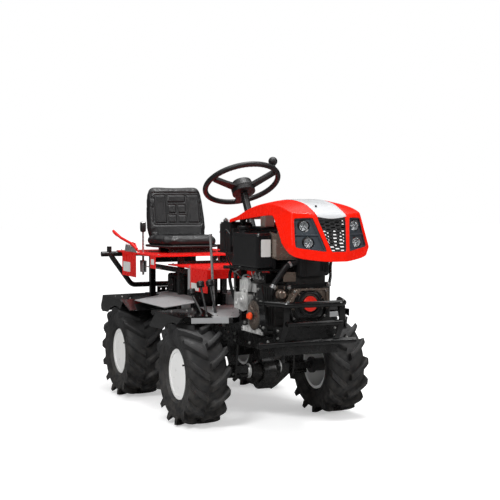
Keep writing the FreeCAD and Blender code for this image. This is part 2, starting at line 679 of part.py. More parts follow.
def make_rear_fenders():
    high = PLATE_EDGE + SHEET
    low = 2 * TYRE_R
    brow, lip = -355, -208
    top = slab([(-715, -180), (-675, -FENDER_Y), (brow, -FENDER_Y), (brow, -248), (-420, -221),
                (-490, -225), (-566, -125), (-614, -125)], "z", PLATE_EDGE, high)
    fall = slab([(brow, PLATE_EDGE), (brow, high), (lip, low + SHEET), (lip, low)],
                "y", -FENDER_Y, -248)
    tail = slab([(-715, -180), (-675, -FENDER_Y), (-675 + SHEET, -FENDER_Y), (-715 + SHEET, -180)],
                "z", 442, PLATE_EDGE)
    rim = [(-675, high), (-712, 470), (-706, 448), (-680, 436), (-640, 440)]
    rim += over_tyre(-AXLE_X, -36, 18, 8) + [(-325, low + 30), (brow, high)]
    skirt = slab(rim, "y", -FENDER_Y - SHEET, -FENDER_Y)
    return pair(fused([top, fall, tail, skirt]))


def make_rear_footplates():
    def tilted(x, y, rise):
        fall = (PLATE_Z - PLATE_EDGE) * (-y - 213) / 187
        return (x, y, PLATE_Z - fall + rise)

    flat_part = slab([(-580, -112), (-480, -213), (117, -213), (-140, -130), (-160, -112)],
                     "z", PLATE_Z, PLATE_Z + SHEET)
    outline = [(-420, -213), (-362, -250), (-306, -400), (140, -395), (117, -213)]
    facet = sections([[tilted(x, y, 0) for x, y in outline],
                      [tilted(x, y, SHEET) for x, y in outline]])
    leg = box(-260, -220, -RAIL_OUT, -112, RAIL_HIGH, PLATE_Z)
    return pair(fused([flat_part, facet, leg]))


def make_handbrake():
    lever = tube([(-560, -300, 790), (-640, -300, 815), (-850, -300, 845), (-985, -300, 880)], 8, 60)
    sector = slab([(-700, 768), (-560, 768), (-600, 820), (-660, 826)], "y", -296, -290)
    return fused([lever, sector])


def make_shift_lever():
    stick = rod((-625, -240, CONSOLE_Z + CONSOLE_SHEET), (-625, -240, 890), 6)
    knob = rod((-625, -240, 886), (-625, -240, 942), 16)
    return fused([stick, knob.makeFillet(7, knob.Edges)])


def make_hitch():
    plate = box(-864, -850, -70, 70, 330, 551)
    ears = [box(-950, -850, y, y + 12, 400, 450) for y in (-40, 28)]
    whole = fused([plate] + ears).cut(rod((-925, -60, 425), (-925, 60, 425), 10))
    for y in (-48, -16, 16, 48):
        whole = whole.cut(rod((-870, y, 536), (-840, y, 536), 6))
    return whole


# ---- assembly -----------------------------------------------------------------------
def moved(shape, x, y, z):
    return shape.translated(V(x, y, z))


FRONT = [("front_axle", moved(make_axle(), AXLE_X, 0, TYRE_R)),
         ("front_chassis", make_front_chassis()),
         ("pivot_pin", make_pivot_pin()),
         ("front_tower", make_front_tower()),
         ("engine_block", make_engine_block()),
         ("fan_housing", make_fan_housing()),
         ("fuel_tank", make_fuel_tank()),
         ("air_filter", make_air_filter()),
         ("battery", make_battery()),
         ("coolant_bottle", make_bottle()),
         ("steering_column", make_steering_column()),
         ("hood_shell", make_hood()),
         ("hood_stripe", make_stripe()),
         ("grille", make_grille()),
         ("lamp_bezels", make_bezels()),
         ("headlamps", make_lamps()),
         ("front_bumper", make_front_bumper()),
         ("front_footplates", make_front_footplates()),
         ("front_fenders", make_front_fenders()),
         ("floor_controls", make_pedals())]

STEERING = [("steering_wheel", make_steering_wheel())]

REAR = [("rear_axle", moved(make_axle(), -AXLE_X, 0, TYRE_R)),
        ("rear_chassis", make_rear_chassis()),
        ("rear_gearbox", make_rear_gearbox()),
        ("seat_console", make_seat_console()),
        ("seat", make_seat()),
        ("front_console", make_front_console()),
        ("rear_guard", make_rear_guard()),
        ("rear_footplates", make_rear_footplates()),
        ("rear_fenders", make_rear_fenders()),
        ("handbrake_lever", make_handbrake()),
        ("shift_lever", make_shift_lever()),
        ("hitch_bracket", make_hitch())]


def seated(pieces):
    # each piece is relieved where an earlier piece of the same half seats in it
    done = []
    for name, shape in pieces:
        for other_name, other in done:
            if shape.BoundBox.intersect(other.BoundBox):
                if shape.common(other).Volume > 0.01:
                    shape = shape.cut(other)
        solids = [s for s in shape.Solids if s.Volume > CRUMB]
        done.append((name, solids[0] if len(solids) == 1 else Part.makeCompound(solids)))
    return done


def save(name, shape):
    shape.translated(V(TO_MID, 0, 0)).exportStep("parts/" + name + ".step")


for group in (FRONT, STEERING, REAR):
    for name, shape in seated(group):
        save(name, shape)

TYRE = make_tyre()
for end, x in (("front", AXLE_X), ("rear", -AXLE_X)):
    for hand, side in (("left", 1), ("right", -1)):
        y = side * TRACK / 2
        save(end + "_" + hand + "_tyre", moved(TYRE, x, y, TYRE_R))
        save(end + "_" + hand + "_rim", moved(make_rim(side), x, y, TYRE_R))
        save(end + "_" + hand + "_hub", moved(make_hub(side), x, y, TYRE_R))
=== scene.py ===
# %% [markdown]
# A compact centre-pivot tractor: two half frames joined by one upright pin, an open engine
# under a short nose hood, four bar-tread tyres and a seat over the rear axle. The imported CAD
# pieces fix every size. This lesson gives them their finishes and adds what a CAD model
# leaves out: tread, seat foam, lamp glass, a grille net, bolts, hoses and blank labels.

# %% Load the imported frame
import bmesh
import bpy
import json
import math
from mathutils import Matrix, Vector


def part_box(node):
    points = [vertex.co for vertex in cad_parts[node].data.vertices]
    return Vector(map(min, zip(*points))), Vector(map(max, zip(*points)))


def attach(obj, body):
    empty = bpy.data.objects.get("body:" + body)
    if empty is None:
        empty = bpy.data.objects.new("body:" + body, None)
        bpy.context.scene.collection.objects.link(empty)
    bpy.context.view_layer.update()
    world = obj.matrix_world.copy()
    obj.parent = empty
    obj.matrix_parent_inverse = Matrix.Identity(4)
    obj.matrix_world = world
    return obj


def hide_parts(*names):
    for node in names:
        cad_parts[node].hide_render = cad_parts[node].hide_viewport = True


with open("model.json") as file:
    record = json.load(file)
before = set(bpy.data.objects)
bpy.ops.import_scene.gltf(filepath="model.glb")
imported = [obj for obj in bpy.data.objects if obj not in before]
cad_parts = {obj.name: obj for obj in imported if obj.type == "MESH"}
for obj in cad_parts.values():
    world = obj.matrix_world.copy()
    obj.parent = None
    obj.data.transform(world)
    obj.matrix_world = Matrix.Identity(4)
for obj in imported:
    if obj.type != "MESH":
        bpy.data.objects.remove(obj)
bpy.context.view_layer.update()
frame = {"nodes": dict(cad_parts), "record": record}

NODES = frame["nodes"]
JOINTS = {joint["name"]: joint for joint in frame["record"]["behaviour"]["joints"]}
PIVOT_X = JOINTS["articulation"]["pos_m"][0]
AHEAD, LEFT, UP = Vector((1, 0, 0)), Vector((0, 1, 0)), Vector((0, 0, 1))
RIGHT = -LEFT


def at(x, y, z):
    # millimetres from the pivot pin, as in the CAD source, to metres in the frame
    return Vector((PIVOT_X + x / 1000, y / 1000, z / 1000))


print("frame:", len(NODES), "nodes, pivot at", PIVOT_X)

# %% [markdown]
# The camera comes first, because every later choice is judged through it. It stands in front
# of the right front wheel, a little above the hood, and looks almost level. A long lens from
# more than five metres keeps the wheels nearly upright and round.

# %% Camera
LENS_MM = 78.4
CAMERA_PLACE = (PIVOT_X + 5.238, -2.286, 1.080)
LOOK_DOWN, LOOK_TURN = 2.77, 155.15   # degrees below level, and round from +X
camera_data = bpy.data.cameras.new("camera")
camera_data.lens = LENS_MM
camera = bpy.data.objects.new("camera", camera_data)
camera.location = CAMERA_PLACE
camera.rotation_euler = (math.radians(90 - LOOK_DOWN), 0, math.radians(LOOK_TURN - 90))
bpy.context.scene.collection.objects.link(camera)
bpy.context.scene.camera = camera

# %% [markdown]
# A product shot has a white floor that runs into a white background, with soft light from
# all around and a stronger soft light from above. What the lens sees of the floor is lifted
# toward white, less near the machine and more far off, so the tyres keep their shadow.
# Polished faces mirror a room instead: a darker floor, dim walls and a bright ceiling.

# %% Floor, world and lamps
WORLD_FILL = 0.42
GLEAM_LOW, GLEAM_HIGH = 0.05, 1.9   # what polished faces mirror: dim walls, a bright ceiling
GLEAM_RISE = (0.45, 0.85)           # sine of the height where the ceiling starts and is full
FLOOR_TONE, FLOOR_GLEAM = 0.86, 0.20   # the floor's own tone, and its tone in reflections
LIFT_NEAR, LIFT_FAR = 0.42, 0.80   # light added to the floor under the machine and far off
LIFT_RUN = (0.9, 3.4)              # distances from the middle where it starts and stops rising
FLOOR_REACH = 30.0                 # half the floor's width


def node_adder(tree):
    """Returns a function that adds a node, sets it up and fills or links its inputs."""
    def add(kind, inputs=(), **settings):
        node = tree.nodes.new(kind)
        for key, value in settings.items():
            setattr(node, key, value)
        for key, value in dict(inputs).items():
            if isinstance(value, bpy.types.NodeSocket):
                tree.links.new(value, node.inputs[key])
            else:
                node.inputs[key].default_value = value
        return node

    return add


def node_material(name):
    material = bpy.data.materials.new(name)
    material.use_nodes = True
    material.node_tree.nodes.clear()
    return material, node_adder(material.node_tree)


def ranged(add, value, low, high, to_low, to_high, **settings):
    """Adds a node that maps a value from one range to another."""
    ends = {"Value": value, "From Min": low, "From Max": high, "To Min": to_low,
            "To Max": to_high}
    return add("ShaderNodeMapRange", ends, **settings).outputs["Result"]


def put(name, mesh, body=None):
    """Links a mesh to the scene as an object and lets it ride on a body."""
    piece = bpy.data.objects.new(name, mesh)
    bpy.context.scene.collection.objects.link(piece)
    if body:
        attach(piece, body)
    return piece


def make_floor():
    material, add = node_material("studio_floor")
    path = add("ShaderNodeLightPath").outputs
    tone = ranged(add, path["Is Glossy Ray"], 0, 1, FLOOR_TONE, FLOOR_GLEAM)
    shade = add("ShaderNodeBsdfDiffuse", {"Color": tone})
    place = add("ShaderNodeTexCoord").outputs["Object"]
    away = add("ShaderNodeVectorMath", {0: place}, operation="LENGTH").outputs["Value"]
    rise = ranged(add, away, *LIFT_RUN, LIFT_NEAR, LIFT_FAR, interpolation_type="SMOOTHSTEP")
    seen = add("ShaderNodeMath", {0: path["Is Camera Ray"], 1: rise}, operation="MULTIPLY")
    lift = add("ShaderNodeEmission", {"Color": (1, 1, 1, 1), "Strength": seen.outputs[0]})
    both = add("ShaderNodeAddShader", {0: shade.outputs[0], 1: lift.outputs[0]})
    add("ShaderNodeOutputMaterial", {"Surface": both.outputs[0]})
    mesh = bpy.data.meshes.new("floor")
    r = FLOOR_REACH
    mesh.from_pydata([(-r, -r, 0), (r, -r, 0), (r, r, 0), (-r, r, 0)], [], [(0, 1, 2, 3)])
    mesh.materials.append(material)
    put("floor", mesh)


def make_world():
    world = bpy.data.worlds.new("studio")
    world.use_nodes = True
    world.node_tree.nodes.clear()
    bpy.context.scene.world = world
    add = node_adder(world.node_tree)
    path = add("ShaderNodeLightPath").outputs
    way = add("ShaderNodeSeparateXYZ", {0: add("ShaderNodeTexCoord").outputs["Generated"]})
    ceiling = ranged(add, way.outputs["Z"], *GLEAM_RISE, GLEAM_LOW, GLEAM_HIGH,
                     interpolation_type="SMOOTHSTEP")
    lit = ranged(add, path["Is Glossy Ray"], 0, 1, WORLD_FILL, ceiling)
    seen = add("ShaderNodeMath", {0: path["Is Camera Ray"], 1: path["Is Transmission Ray"]},
               operation="MAXIMUM")
    strength = ranged(add, seen.outputs[0], 0, 1, lit, 1.0)
    light = add("ShaderNodeBackground", {"Color": (1, 1, 1, 1), "Strength": strength})
    add("ShaderNodeOutputWorld", {"Surface": light.outputs[0]})


def soft_lamp(name, place, aim, size, power):
    data = bpy.data.lights.new(name, "AREA")
    data.size = size
    data.energy = power
    lamp = put(name, data)
    lamp.location = place
    lamp.rotation_euler = (Vector(aim) - Vector(place)).to_track_quat("-Z", "Y").to_euler()


make_floor()
make_world()
soft_lamp("key", (2.6, -2.8, 3.6), (0.2, 0, 0.6), 1.2, 110)
soft_lamp("fill", (3.4, 2.6, 2.2), (0.3, 0, 0.7), 0.9, 45)
soft_lamp("top", (0.1, 0.2, 4.2), (0, 0, 0.5), 1.6, 120)
bpy.context.scene.view_settings.view_transform = "Standard"

# %% [markdown]
# Paint, plastic and castings are never one flat colour. Every finish here is built the same
# way: a soft cloud of tone, a fine bump for the skin of the coat, a roughness that wanders,
# and a lighter rub along the edges. A Bevel node rounds the CAD edges for the light, and the
# same node finds where an edge is, so that wear can sit on it.

# %% Finishes
EDGE_TURN = (0.97, 0.80)     # bevelled against flat normal: where rubbing starts and is full
WEAR_SCALE, DUST_SCALE, SMEAR_SCALE = 60, 30, 45   # clouds of rub, dust and gloss
DUST_TOP = 0.45              # height in metres where the dust ends
DUST = (0.30, 0.26, 0.21)
# near-black: the fan cover below its painted bronze highlight, and the top of the seat console
NEAR_BLACK = (0.008, 0.008, 0.008)


def make_finish(name, colour, rough, metallic=0.0, coat=0.0, tone=0.10, tone_size=14.0,
                grain=700.0, depth=0.0001, wander=0.08, rounding=0.0012, rub=0.25, rubbed=None,
                dust=0.0, second=None, sheen=0.30):
    material, add = node_material(name)
    place = add("ShaderNodeTexCoord").outputs["Object"]

    def cloud(scale, detail, low, high, to_low=0, to_high=1):
        look = {"Vector": place, "Scale": scale, "Detail": detail}
        noise = add("ShaderNodeTexNoise", look).outputs["Fac"]
        return ranged(add, noise, low, high, to_low, to_high)

    def mixed(factor, first, other):
        ends = [(*end, 1) if isinstance(end, tuple) else end for end in (first, other)]
        mix = add("ShaderNodeMix", {0: factor, 6: ends[0], 7: ends[1]}, data_type="RGBA")
        return mix.outputs[2]

    def times(first, other):
        return add("ShaderNodeMath", {0: first, 1: other}, operation="MULTIPLY").outputs[0]

    def along(axis):
        return add("ShaderNodeSeparateXYZ", {0: place}).outputs[axis]

    dark = tuple(c * (1 - tone) for c in colour)
    light = tuple(min(1.0, c * (1 + tone) + 0.02 * tone) for c in colour)
    shade = mixed(cloud(tone_size, 6, 0.3, 0.7), dark, light)
    if second:
        # another colour on one side of a plane: (axis, from, to, colour)
        axis, start, end, other = second
        shade = mixed(ranged(add, along(axis), start, end, 0, 1), shade, other)
    bevel = add("ShaderNodeBevel", {"Radius": rounding}, samples=4).outputs[0]
    flat = add("ShaderNodeNewGeometry").outputs["True Normal"]
    meet = add("ShaderNodeVectorMath", {0: bevel, 1: flat}, operation="DOT_PRODUCT")
    edge = ranged(add, meet.outputs["Value"], *EDGE_TURN, 0, rub)
    edge = times(edge, cloud(WEAR_SCALE, 4, 0.42, 0.6))
    shade = mixed(edge, shade, rubbed or tuple(min(1.0, 0.35 * c + 0.3) for c in colour))
    if dust:
        low = ranged(add, along("Z"), DUST_TOP, 0.0, 0, dust)
        low = times(low, cloud(DUST_SCALE, 8, 0.4, 0.62))
        shade = mixed(low, shade, DUST)
    noise = {"Vector": place, "Scale": grain, "Detail": 3}
    skin = add("ShaderNodeTexNoise", noise).outputs["Fac"]
    bump = add("ShaderNodeBump", {"Distance": depth, "Height": skin, "Normal": bevel})
    shader = add("ShaderNodeBsdfPrincipled", {
        "Base Color": shade, "Metallic": metallic, "Coat Weight": coat, "Coat Roughness": 0.06,
        "Specular IOR Level": 0.5 if metallic else sheen, "Normal": bump.outputs[0],
        "Roughness": cloud(SMEAR_SCALE, 5, 0.3, 0.7, max(0.02, rough - wander), rough + wander)})
    add("ShaderNodeOutputMaterial", {"Surface": shader.outputs[0]})
    return material


RED_PLASTIC = make_finish("hood_red", (0.88, 0.010, 0.001), 0.26, tone=0.02,
                          tone_size=3, grain=1200, depth=0.00001, rounding=0.006, rub=0.0,
                          sheen=0.12)
CONSOLE = {"colour": (0.74, 0.007, 0.004), "rough": 0.30, "coat": 0.10, "tone": 0.05,
           "tone_size": 5, "rounding": 0.0015, "rub": 0.12, "rubbed": (0.72, 0.14, 0.10)}
RED_PAINT = make_finish("console_red", **CONSOLE)
SEAT_CONSOLE_RED = make_finish("seat_console_red", second=("Z", 0.7690, 0.7695, NEAR_BLACK), **CONSOLE)
STRIPE_GREY = make_finish("stripe_grey", (0.50, 0.51, 0.52), 0.32, coat=0.2, tone=0.03,
                          tone_size=5, rounding=0.004, rub=0.1)
FRAME_BLACK = make_finish("frame_black", (0.006, 0.006, 0.006), 0.24, tone=0.3, grain=400,
                          depth=0.00008, rub=0.12, rubbed=(0.06, 0.06, 0.06), dust=0.06,
                          sheen=0.45)
GLOSS_BLACK = make_finish("gloss_black", (0.004, 0.004, 0.004), 0.13, coat=0.1, tone=0.2,
                          grain=250, depth=0.00005, wander=0.04, rub=0.1,
                          rubbed=(0.08, 0.08, 0.08), sheen=0.50)
PLATE_GREY = make_finish("plate_grey", (0.34, 0.345, 0.35), 0.34, coat=0.1, tone=0.04,
                         tone_size=6, rub=0.15, rubbed=(0.5, 0.5, 0.5))
RIM_WHITE = make_finish("rim_white", (0.80, 0.80, 0.79), 0.30, coat=0.3, tone=0.01,
                        tone_size=4, depth=0.00004, wander=0.03, rounding=0.003, rub=0.0)
HUB_BLACK = make_finish("hub_black", (0.02, 0.02, 0.021), 0.4, tone=0.3, dust=0.15)
CAST_BLACK = make_finish("cast_black", (0.010, 0.010, 0.010), 0.4, tone=0.35, grain=260,
                         depth=0.0004, rub=0.2, rubbed=(0.08, 0.08, 0.08), dust=0.08)
CAST_SILVER = make_finish("cast_silver", (0.62, 0.62, 0.61), 0.40, metallic=0.5, tone=0.30,
                          grain=420, depth=0.0004, rub=0.4, rubbed=(0.75, 0.75, 0.74))
# Painted highlight: a bronze sheen painted on dark sheet metal. On the fan cover it fades to
# near-black from 0.600 m down to 0.575 m.
BRONZE_PAINTED_HIGHLIGHT = make_finish("bronze_painted_highlight", (0.20, 0.155, 0.125), 0.24, metallic=0.55, coat=0.3,
                           tone=0.12, tone_size=6, grain=600, rub=0.3, rubbed=(0.5, 0.45, 0.4),
                           second=("Z", 0.600, 0.575, NEAR_BLACK))
BARE_STEEL = make_finish("bare_steel", (0.66, 0.66, 0.66), 0.30, metallic=0.8, tone=0.12,
                         grain=900, rub=0.2)
ZINC = make_finish("zinc_bolts", (0.42, 0.42, 0.41), 0.34, metallic=0.9, tone=0.15,
                   tone_size=60, rounding=0.0008, rub=0.2)
BLACK_PLASTIC = make_finish("black_plastic", (0.009, 0.009, 0.0095), 0.38, tone=0.2, grain=900,
                            depth=0.0001, rub=0.12, rubbed=(0.05, 0.05, 0.05))
SOFT_BLACK = make_finish("soft_black", (0.009, 0.009, 0.0095), 0.45, tone=0.2, grain=1400,
                         depth=0.0002, rub=0.08, rubbed=(0.03, 0.03, 0.03))
TANK_BLACK = make_finish("tank_black", (0.008, 0.008, 0.0085), 0.14, coat=0.3, tone=0.08,
                         tone_size=4, depth=0.00004, wander=0.03, rounding=0.014, rub=0.04,
                         rubbed=(0.08, 0.08, 0.08))
BEZEL_BLUE = make_finish("bezel_blue", (0.030, 0.038, 0.048), 0.38, tone=0.12, rounding=0.002,
                         rub=0.25, rubbed=(0.10, 0.12, 0.14))
BOTTLE_IVORY = make_finish("bottle_ivory", (0.66, 0.63, 0.56), 0.4, tone=0.1, rounding=0.004)
LABEL_PALE = make_finish("label_pale", (0.66, 0.66, 0.64), 0.4, tone=0.05, tone_size=40)
print("finishes:", len(bpy.data.materials))

# %% [markdown]
# Each CAD node keeps its mesh here and only takes a finish. One table says which piece has
# which, so a repaint is one line.

# %% Dress the CAD nodes
ENGINE_MIX = make_finish("engine_casting", (0.42, 0.42, 0.41), 0.42, metallic=0.6, tone=0.35,
                         tone_size=22, grain=380, depth=0.0005, rub=0.5,
                         rubbed=(0.7, 0.7, 0.68), second=("X", 0.53, 0.58, (0.030, 0.029, 0.028)))
DRESS = {
    FRAME_BLACK: ["front_chassis", "rear_chassis", "front_axle", "rear_axle", "front_tower",
                  "rear_guard", "steering_column", "hitch_bracket"],
    GLOSS_BLACK: ["front_fenders", "rear_fenders", "front_bumper"],
    PLATE_GREY: ["front_footplates", "rear_footplates"],
    RED_PLASTIC: ["hood_shell"],
    STRIPE_GREY: ["hood_stripe"],
    SEAT_CONSOLE_RED: ["seat_console"],
    RED_PAINT: ["front_console", "handbrake_lever"],
    ENGINE_MIX: ["engine_block"],
    CAST_BLACK: ["rear_gearbox"],
    # the fan housing is black sheet metal; its bronze is a painted highlight
    BRONZE_PAINTED_HIGHLIGHT: ["fan_housing"],
    TANK_BLACK: ["fuel_tank"],
    BLACK_PLASTIC: ["air_filter", "battery", "grille"],
    SOFT_BLACK: ["steering_wheel", "floor_controls", "seat"],
    BEZEL_BLUE: ["lamp_bezels"],
    BARE_STEEL: ["pivot_pin", "shift_lever", "headlamps"],
    BOTTLE_IVORY: ["coolant_bottle"],
}
WHEELS = ["front_left", "front_right", "rear_left", "rear_right"]
DRESS[RIM_WHITE] = [wheel + "_rim" for wheel in WHEELS]
DRESS[HUB_BLACK] = [wheel + "_hub" for wheel in WHEELS]
for material, names in DRESS.items():
    for name in names:
        NODES[name].data.materials.clear()
        NODES[name].data.materials.append(material)

# %% [markdown]
# Helpers for new pieces. A piece is made of lists of points and faces, is shaded smooth
# where its faces meet at a gentle angle, and rides on the body that carries it.

# %% Helpers for meshes
def new_piece(name, points, faces, material, body, smooth=35):
    mesh = bpy.data.meshes.new(name)
    mesh.from_pydata([tuple(p) for p in points], [], faces)
    mesh.materials.append(material)
    tidy_mesh(mesh, smooth)
    return put(name, mesh, body)


def bake(piece):
    """Turns what the modifiers make into the piece's own mesh."""
    graph = bpy.context.evaluated_depsgraph_get()
    mesh = bpy.data.meshes.new_from_object(piece.evaluated_get(graph), depsgraph=graph)
    piece.modifiers.clear()
    piece.data = mesh


def tidy_mesh(mesh, smooth):
    """Joins doubled points, turns faces outward and keeps only steep edges sharp."""
    form = bmesh.new()
    form.from_mesh(mesh)
    bmesh.ops.remove_doubles(form, verts=form.verts, dist=1e-6)
    bmesh.ops.recalc_face_normals(form, faces=form.faces)
    for face in form.faces:
        face.smooth = smooth > 0
    for edge in form.edges:
        edge.smooth = len(edge.link_faces) == 2 and edge.calc_face_angle(0) < math.radians(smooth)
    form.to_mesh(mesh)
    form.free()


def ring_faces(rows, count, close=False):
    """Faces between rings of points; close joins the last ring to the first."""
    faces = []
    for row in range(rows if close else rows - 1):
        ahead = (row + 1) % rows
        for k in range(count):
            m = (k + 1) % count
            faces.append([row * count + k, row * count + m, ahead * count + m,
                          ahead * count + k])
    return faces


def circle(middle, side, other, radius, count):
    angles = [2 * math.pi * k / count for k in range(count)]
    return [middle + (side * math.cos(a) + other * math.sin(a)) * radius for a in angles]

# %% [markdown]
# Most added pieces are a few plain forms: slabs, turned bodies, rods and pipes. One class
# collects them, so that many forms can make one piece.

# %% Plain shapes
class Shapes:
    """Collects plain shapes, so that one piece can hold many of them."""

    def __init__(self):
        self.points = []
        self.faces = []

    def add(self, points, faces):
        start = len(self.points)
        self.points += [Vector(p) for p in points]
        self.faces += [[start + i for i in face] for face in faces]

    def loft(self, rings):
        # a closed skin over rings with the same number of points
        count = len(rings[0])
        ends = [list(range(count))[::-1], [(len(rings) - 1) * count + k for k in range(count)]]
        self.add([p for ring in rings for p in ring], ring_faces(len(rings), count) + ends)

    def slab(self, corners, thickness):
        # corners run round a flat outline; thickness is a vector
        low = [Vector(c) for c in corners]
        self.loft([low, [c + Vector(thickness) for c in low]])

    def plate(self, axis, place, outline, depth):
        # a flat plate across an axis: place and outline in stations, depth in metres
        k = "xyz".index(axis)
        corners = [at(*spot[:k], place, *spot[k:]) for spot in outline]
        self.slab(corners, [depth * (axis == other) for other in "xyz"])

    def box(self, low, high):
        (a, b, c), (d, e, f) = low, high
        self.slab([(a, b, c), (d, b, c), (d, e, c), (a, e, c)], (0, 0, f - c))

    def turned(self, start, end, profile, count=24):
        # profile: (distance along start-end, radius) pairs, closed at both ends
        start, axis = Vector(start), (Vector(end) - Vector(start)).normalized()
        side = axis.orthogonal().normalized()
        other = axis.cross(side)
        self.loft([circle(start + axis * run, side, other, radius, count)
                   for run, radius in profile])

    def rod(self, start, end, radius, count=16):
        length = (Vector(end) - Vector(start)).length
        self.turned(start, end, [(0, radius), (length, radius)], count)

    def sweep(self, line, radii, count, side):
        # a round pipe along a line of points, with a radius for each
        rings = []
        for i, (spot, radius) in enumerate(zip(line, radii)):
            ahead = (line[min(i + 1, len(line) - 1)] - line[max(i - 1, 0)]).normalized()
            side = (side - ahead * side.dot(ahead)).normalized()
            rings.append(circle(spot, side, ahead.cross(side), radius, count))
        self.loft(rings)

    def pipe(self, route, radius, count=12):
        # a round pipe along a smooth line through the route's stations
        line = smooth_line([at(*p) for p in route], 10)
        side = (line[1] - line[0]).orthogonal().normalized()
        self.sweep(line, [radius] * len(line), count, side)

    def piece(self, name, material, body, smooth=35):
        return new_piece(name, self.points, self.faces, material, body, smooth)


def smooth_line(spots, steps):
    """A Catmull-Rom line through the points."""
    ends = [spots[0] * 2 - spots[1]] + spots + [spots[-1] * 2 - spots[-2]]
    line = []
    for i in range(1, len(ends) - 2):
        a, b, c, d = ends[i - 1:i + 3]
        for k in range(steps):
            t = k / steps
            line.append(0.5 * ((2 * b) + (c - a) * t + (2 * a - 5 * b + 4 * c - d) * t * t
                               + (3 * b - a - 3 * c + d) * t ** 3))
    line.append(spots[-1])
    return line


def reach(node):
    low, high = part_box(node)
    return low, high, (low + high) / 2

# %% [markdown]
# A tractor tyre carries the same lug again and again round its tread. Modelling each by hand
# would be slow and uneven, so one left lug and one right lug are made, half a pitch apart,
# and Geometry Nodes copy the pair round the wheel. Realize Instances at the end turns the
# copies into real mesh.

# %% A node tree that copies a shape round the wheel's axis
def new_tree(name, **sockets):
    """Starts a Geometry Nodes tree that takes geometry and the named inputs."""
    tree = bpy.data.node_groups.new(name, "GeometryNodeTree")
    for key, kind in (("Geometry", "Geometry"), *sockets.items()):
        tree.interface.new_socket(key, in_out="INPUT", socket_type="NodeSocket" + kind)
    tree.interface.new_socket("Geometry", in_out="OUTPUT", socket_type="NodeSocketGeometry")
    add = node_adder(tree)
    return tree, add, add("NodeGroupInput").outputs


def set_copies(add, given, points, rotation, scale=1.0):
    """Sets the given shape on every point, makes the copies real and gives them a finish."""
    shape = add("GeometryNodeObjectInfo", {"Object": given["Shape"]}).outputs["Geometry"]
    scale = (scale, scale, scale) if isinstance(scale, float) else scale
    copies = add("GeometryNodeInstanceOnPoints", {"Points": points, "Instance": shape,
                                                  "Rotation": rotation, "Scale": scale})
    real = add("GeometryNodeRealizeInstances", {0: copies.outputs[0]})
    paint = add("GeometryNodeSetMaterial", {"Geometry": real.outputs[0],
                                            "Material": given["Finish"]})
    add("NodeGroupOutput", {0: paint.outputs[0]})


def ring_tree():
    tree, add, given = new_tree("copies_round_axis", Shape="Object", Count="Int",
                                Finish="Material")
    points = add("GeometryNodePoints", {"Count": given["Count"]})
    index = add("GeometryNodeInputIndex").outputs[0]
    share = add("ShaderNodeMath", {0: index, 1: given["Count"]}, operation="DIVIDE")
    turn = add("ShaderNodeMath", {0: share.outputs[0], 1: 2 * math.pi}, operation="MULTIPLY")
    angle = add("ShaderNodeCombineXYZ", {"Y": turn.outputs[0]})
    set_copies(add, given, points.outputs[0], angle.outputs[0])
    return tree


def run_tree(tree, name, base, values):
    """Runs a node tree on a base mesh and returns the result as a plain mesh."""
    holder = put(name, base)
    modifier = holder.modifiers.new("make", "NODES")
    modifier.node_group = tree
    for item in tree.interface.items_tree:
        if item.in_out == "INPUT" and item.name in values:
            modifier[item.identifier] = values[item.name]
    bake(holder)
    mesh = holder.data
    bpy.data.objects.remove(holder)
    return mesh


RING_TREE = ring_tree()

# %% [markdown]
# The lug is a curved bar: it starts at the tread's middle, sweeps back as it goes out, wraps
# over the shoulder and fades into the side wall. Rows of six points across the bar give it
# rounded top edges. The casing under the lugs is a turned ring with raised rings on the wall.

# %% Tyres
LUGS = 14
WALL_STEPS = 96
LUG_ROWS = [  # across the tread, top radius, foot radius, sweep in degrees
    (0.003, 0.2215, 0.2205, -0.6), (0.007, 0.2405, 0.2195, 0), (0.025, 0.2413, 0.2190, 2.4),
    (0.051, 0.2410, 0.2175, 7.6), (0.075, 0.2398, 0.2150, 12.8), (0.092, 0.2385, 0.2110, 16.8),
    (0.1015, 0.2362, 0.2080, 19.2), (0.1015, 0.2230, 0.2060, 20.4),
    (0.1000, 0.2090, 0.2000, 21.4), (0.0985, 0.1965, 0.1950, 22.0)]


def spot_on_wheel(radius, across, degrees):
    a = math.radians(degrees)
    return Vector((radius * math.sin(a), across, -radius * math.cos(a)))


def lug_pair():
    lugs = Shapes()
    for hand, lead in ((1, 0.0), (-1, 180.0 / LUGS)):
        points = []
        for across, top, foot, sweep in LUG_ROWS:
            inset = 0.0014 if top > foot + 0.004 else 0
            side = across - (0.006 if across > 0.09 else 0)
            for gap, radius, w in ((-2.0, foot, side), (-0.15, top - inset, across),
                                   (0.45, top, across), (6.05, top, across),
                                   (6.65, top - inset, across), (8.5, foot, side)):
                points.append(spot_on_wheel(radius, hand * w, lead + sweep + gap))
        faces = []
        for row in range(len(LUG_ROWS) - 1):
            for k in range(5):
                a = row * 6 + k
                faces.append([a, a + 1, a + 7, a + 6])
        faces.append([5, 4, 3, 2, 1, 0])
        last = 6 * (len(LUG_ROWS) - 1)
        faces.append([last + k for k in range(6)])
        lugs.add(points, faces)
    return lugs


WALL = [(0.1128, 0.070), (0.1232, 0.0702), (0.1262, 0.076), (0.1315, 0.083), (0.1340, 0.0872),
        (0.1365, 0.0872), (0.1390, 0.0865), (0.152, 0.0935), (0.166, 0.0968), (0.1675, 0.0982),
        (0.1715, 0.0982), (0.1730, 0.0975), (0.186, 0.0982), (0.198, 0.0968), (0.2065, 0.0925),
        (0.2125, 0.0850), (0.2165, 0.0660), (0.2190, 0.0400), (0.2202, 0.0)]
RUBBER = make_finish("tyre_rubber", (0.017, 0.017, 0.0175), 0.62, tone=0.35, tone_size=9,
                     grain=1100, depth=0.0003, wander=0.1, rounding=0.0015, rub=0.5,
                     rubbed=(0.06, 0.06, 0.06), dust=0.10)


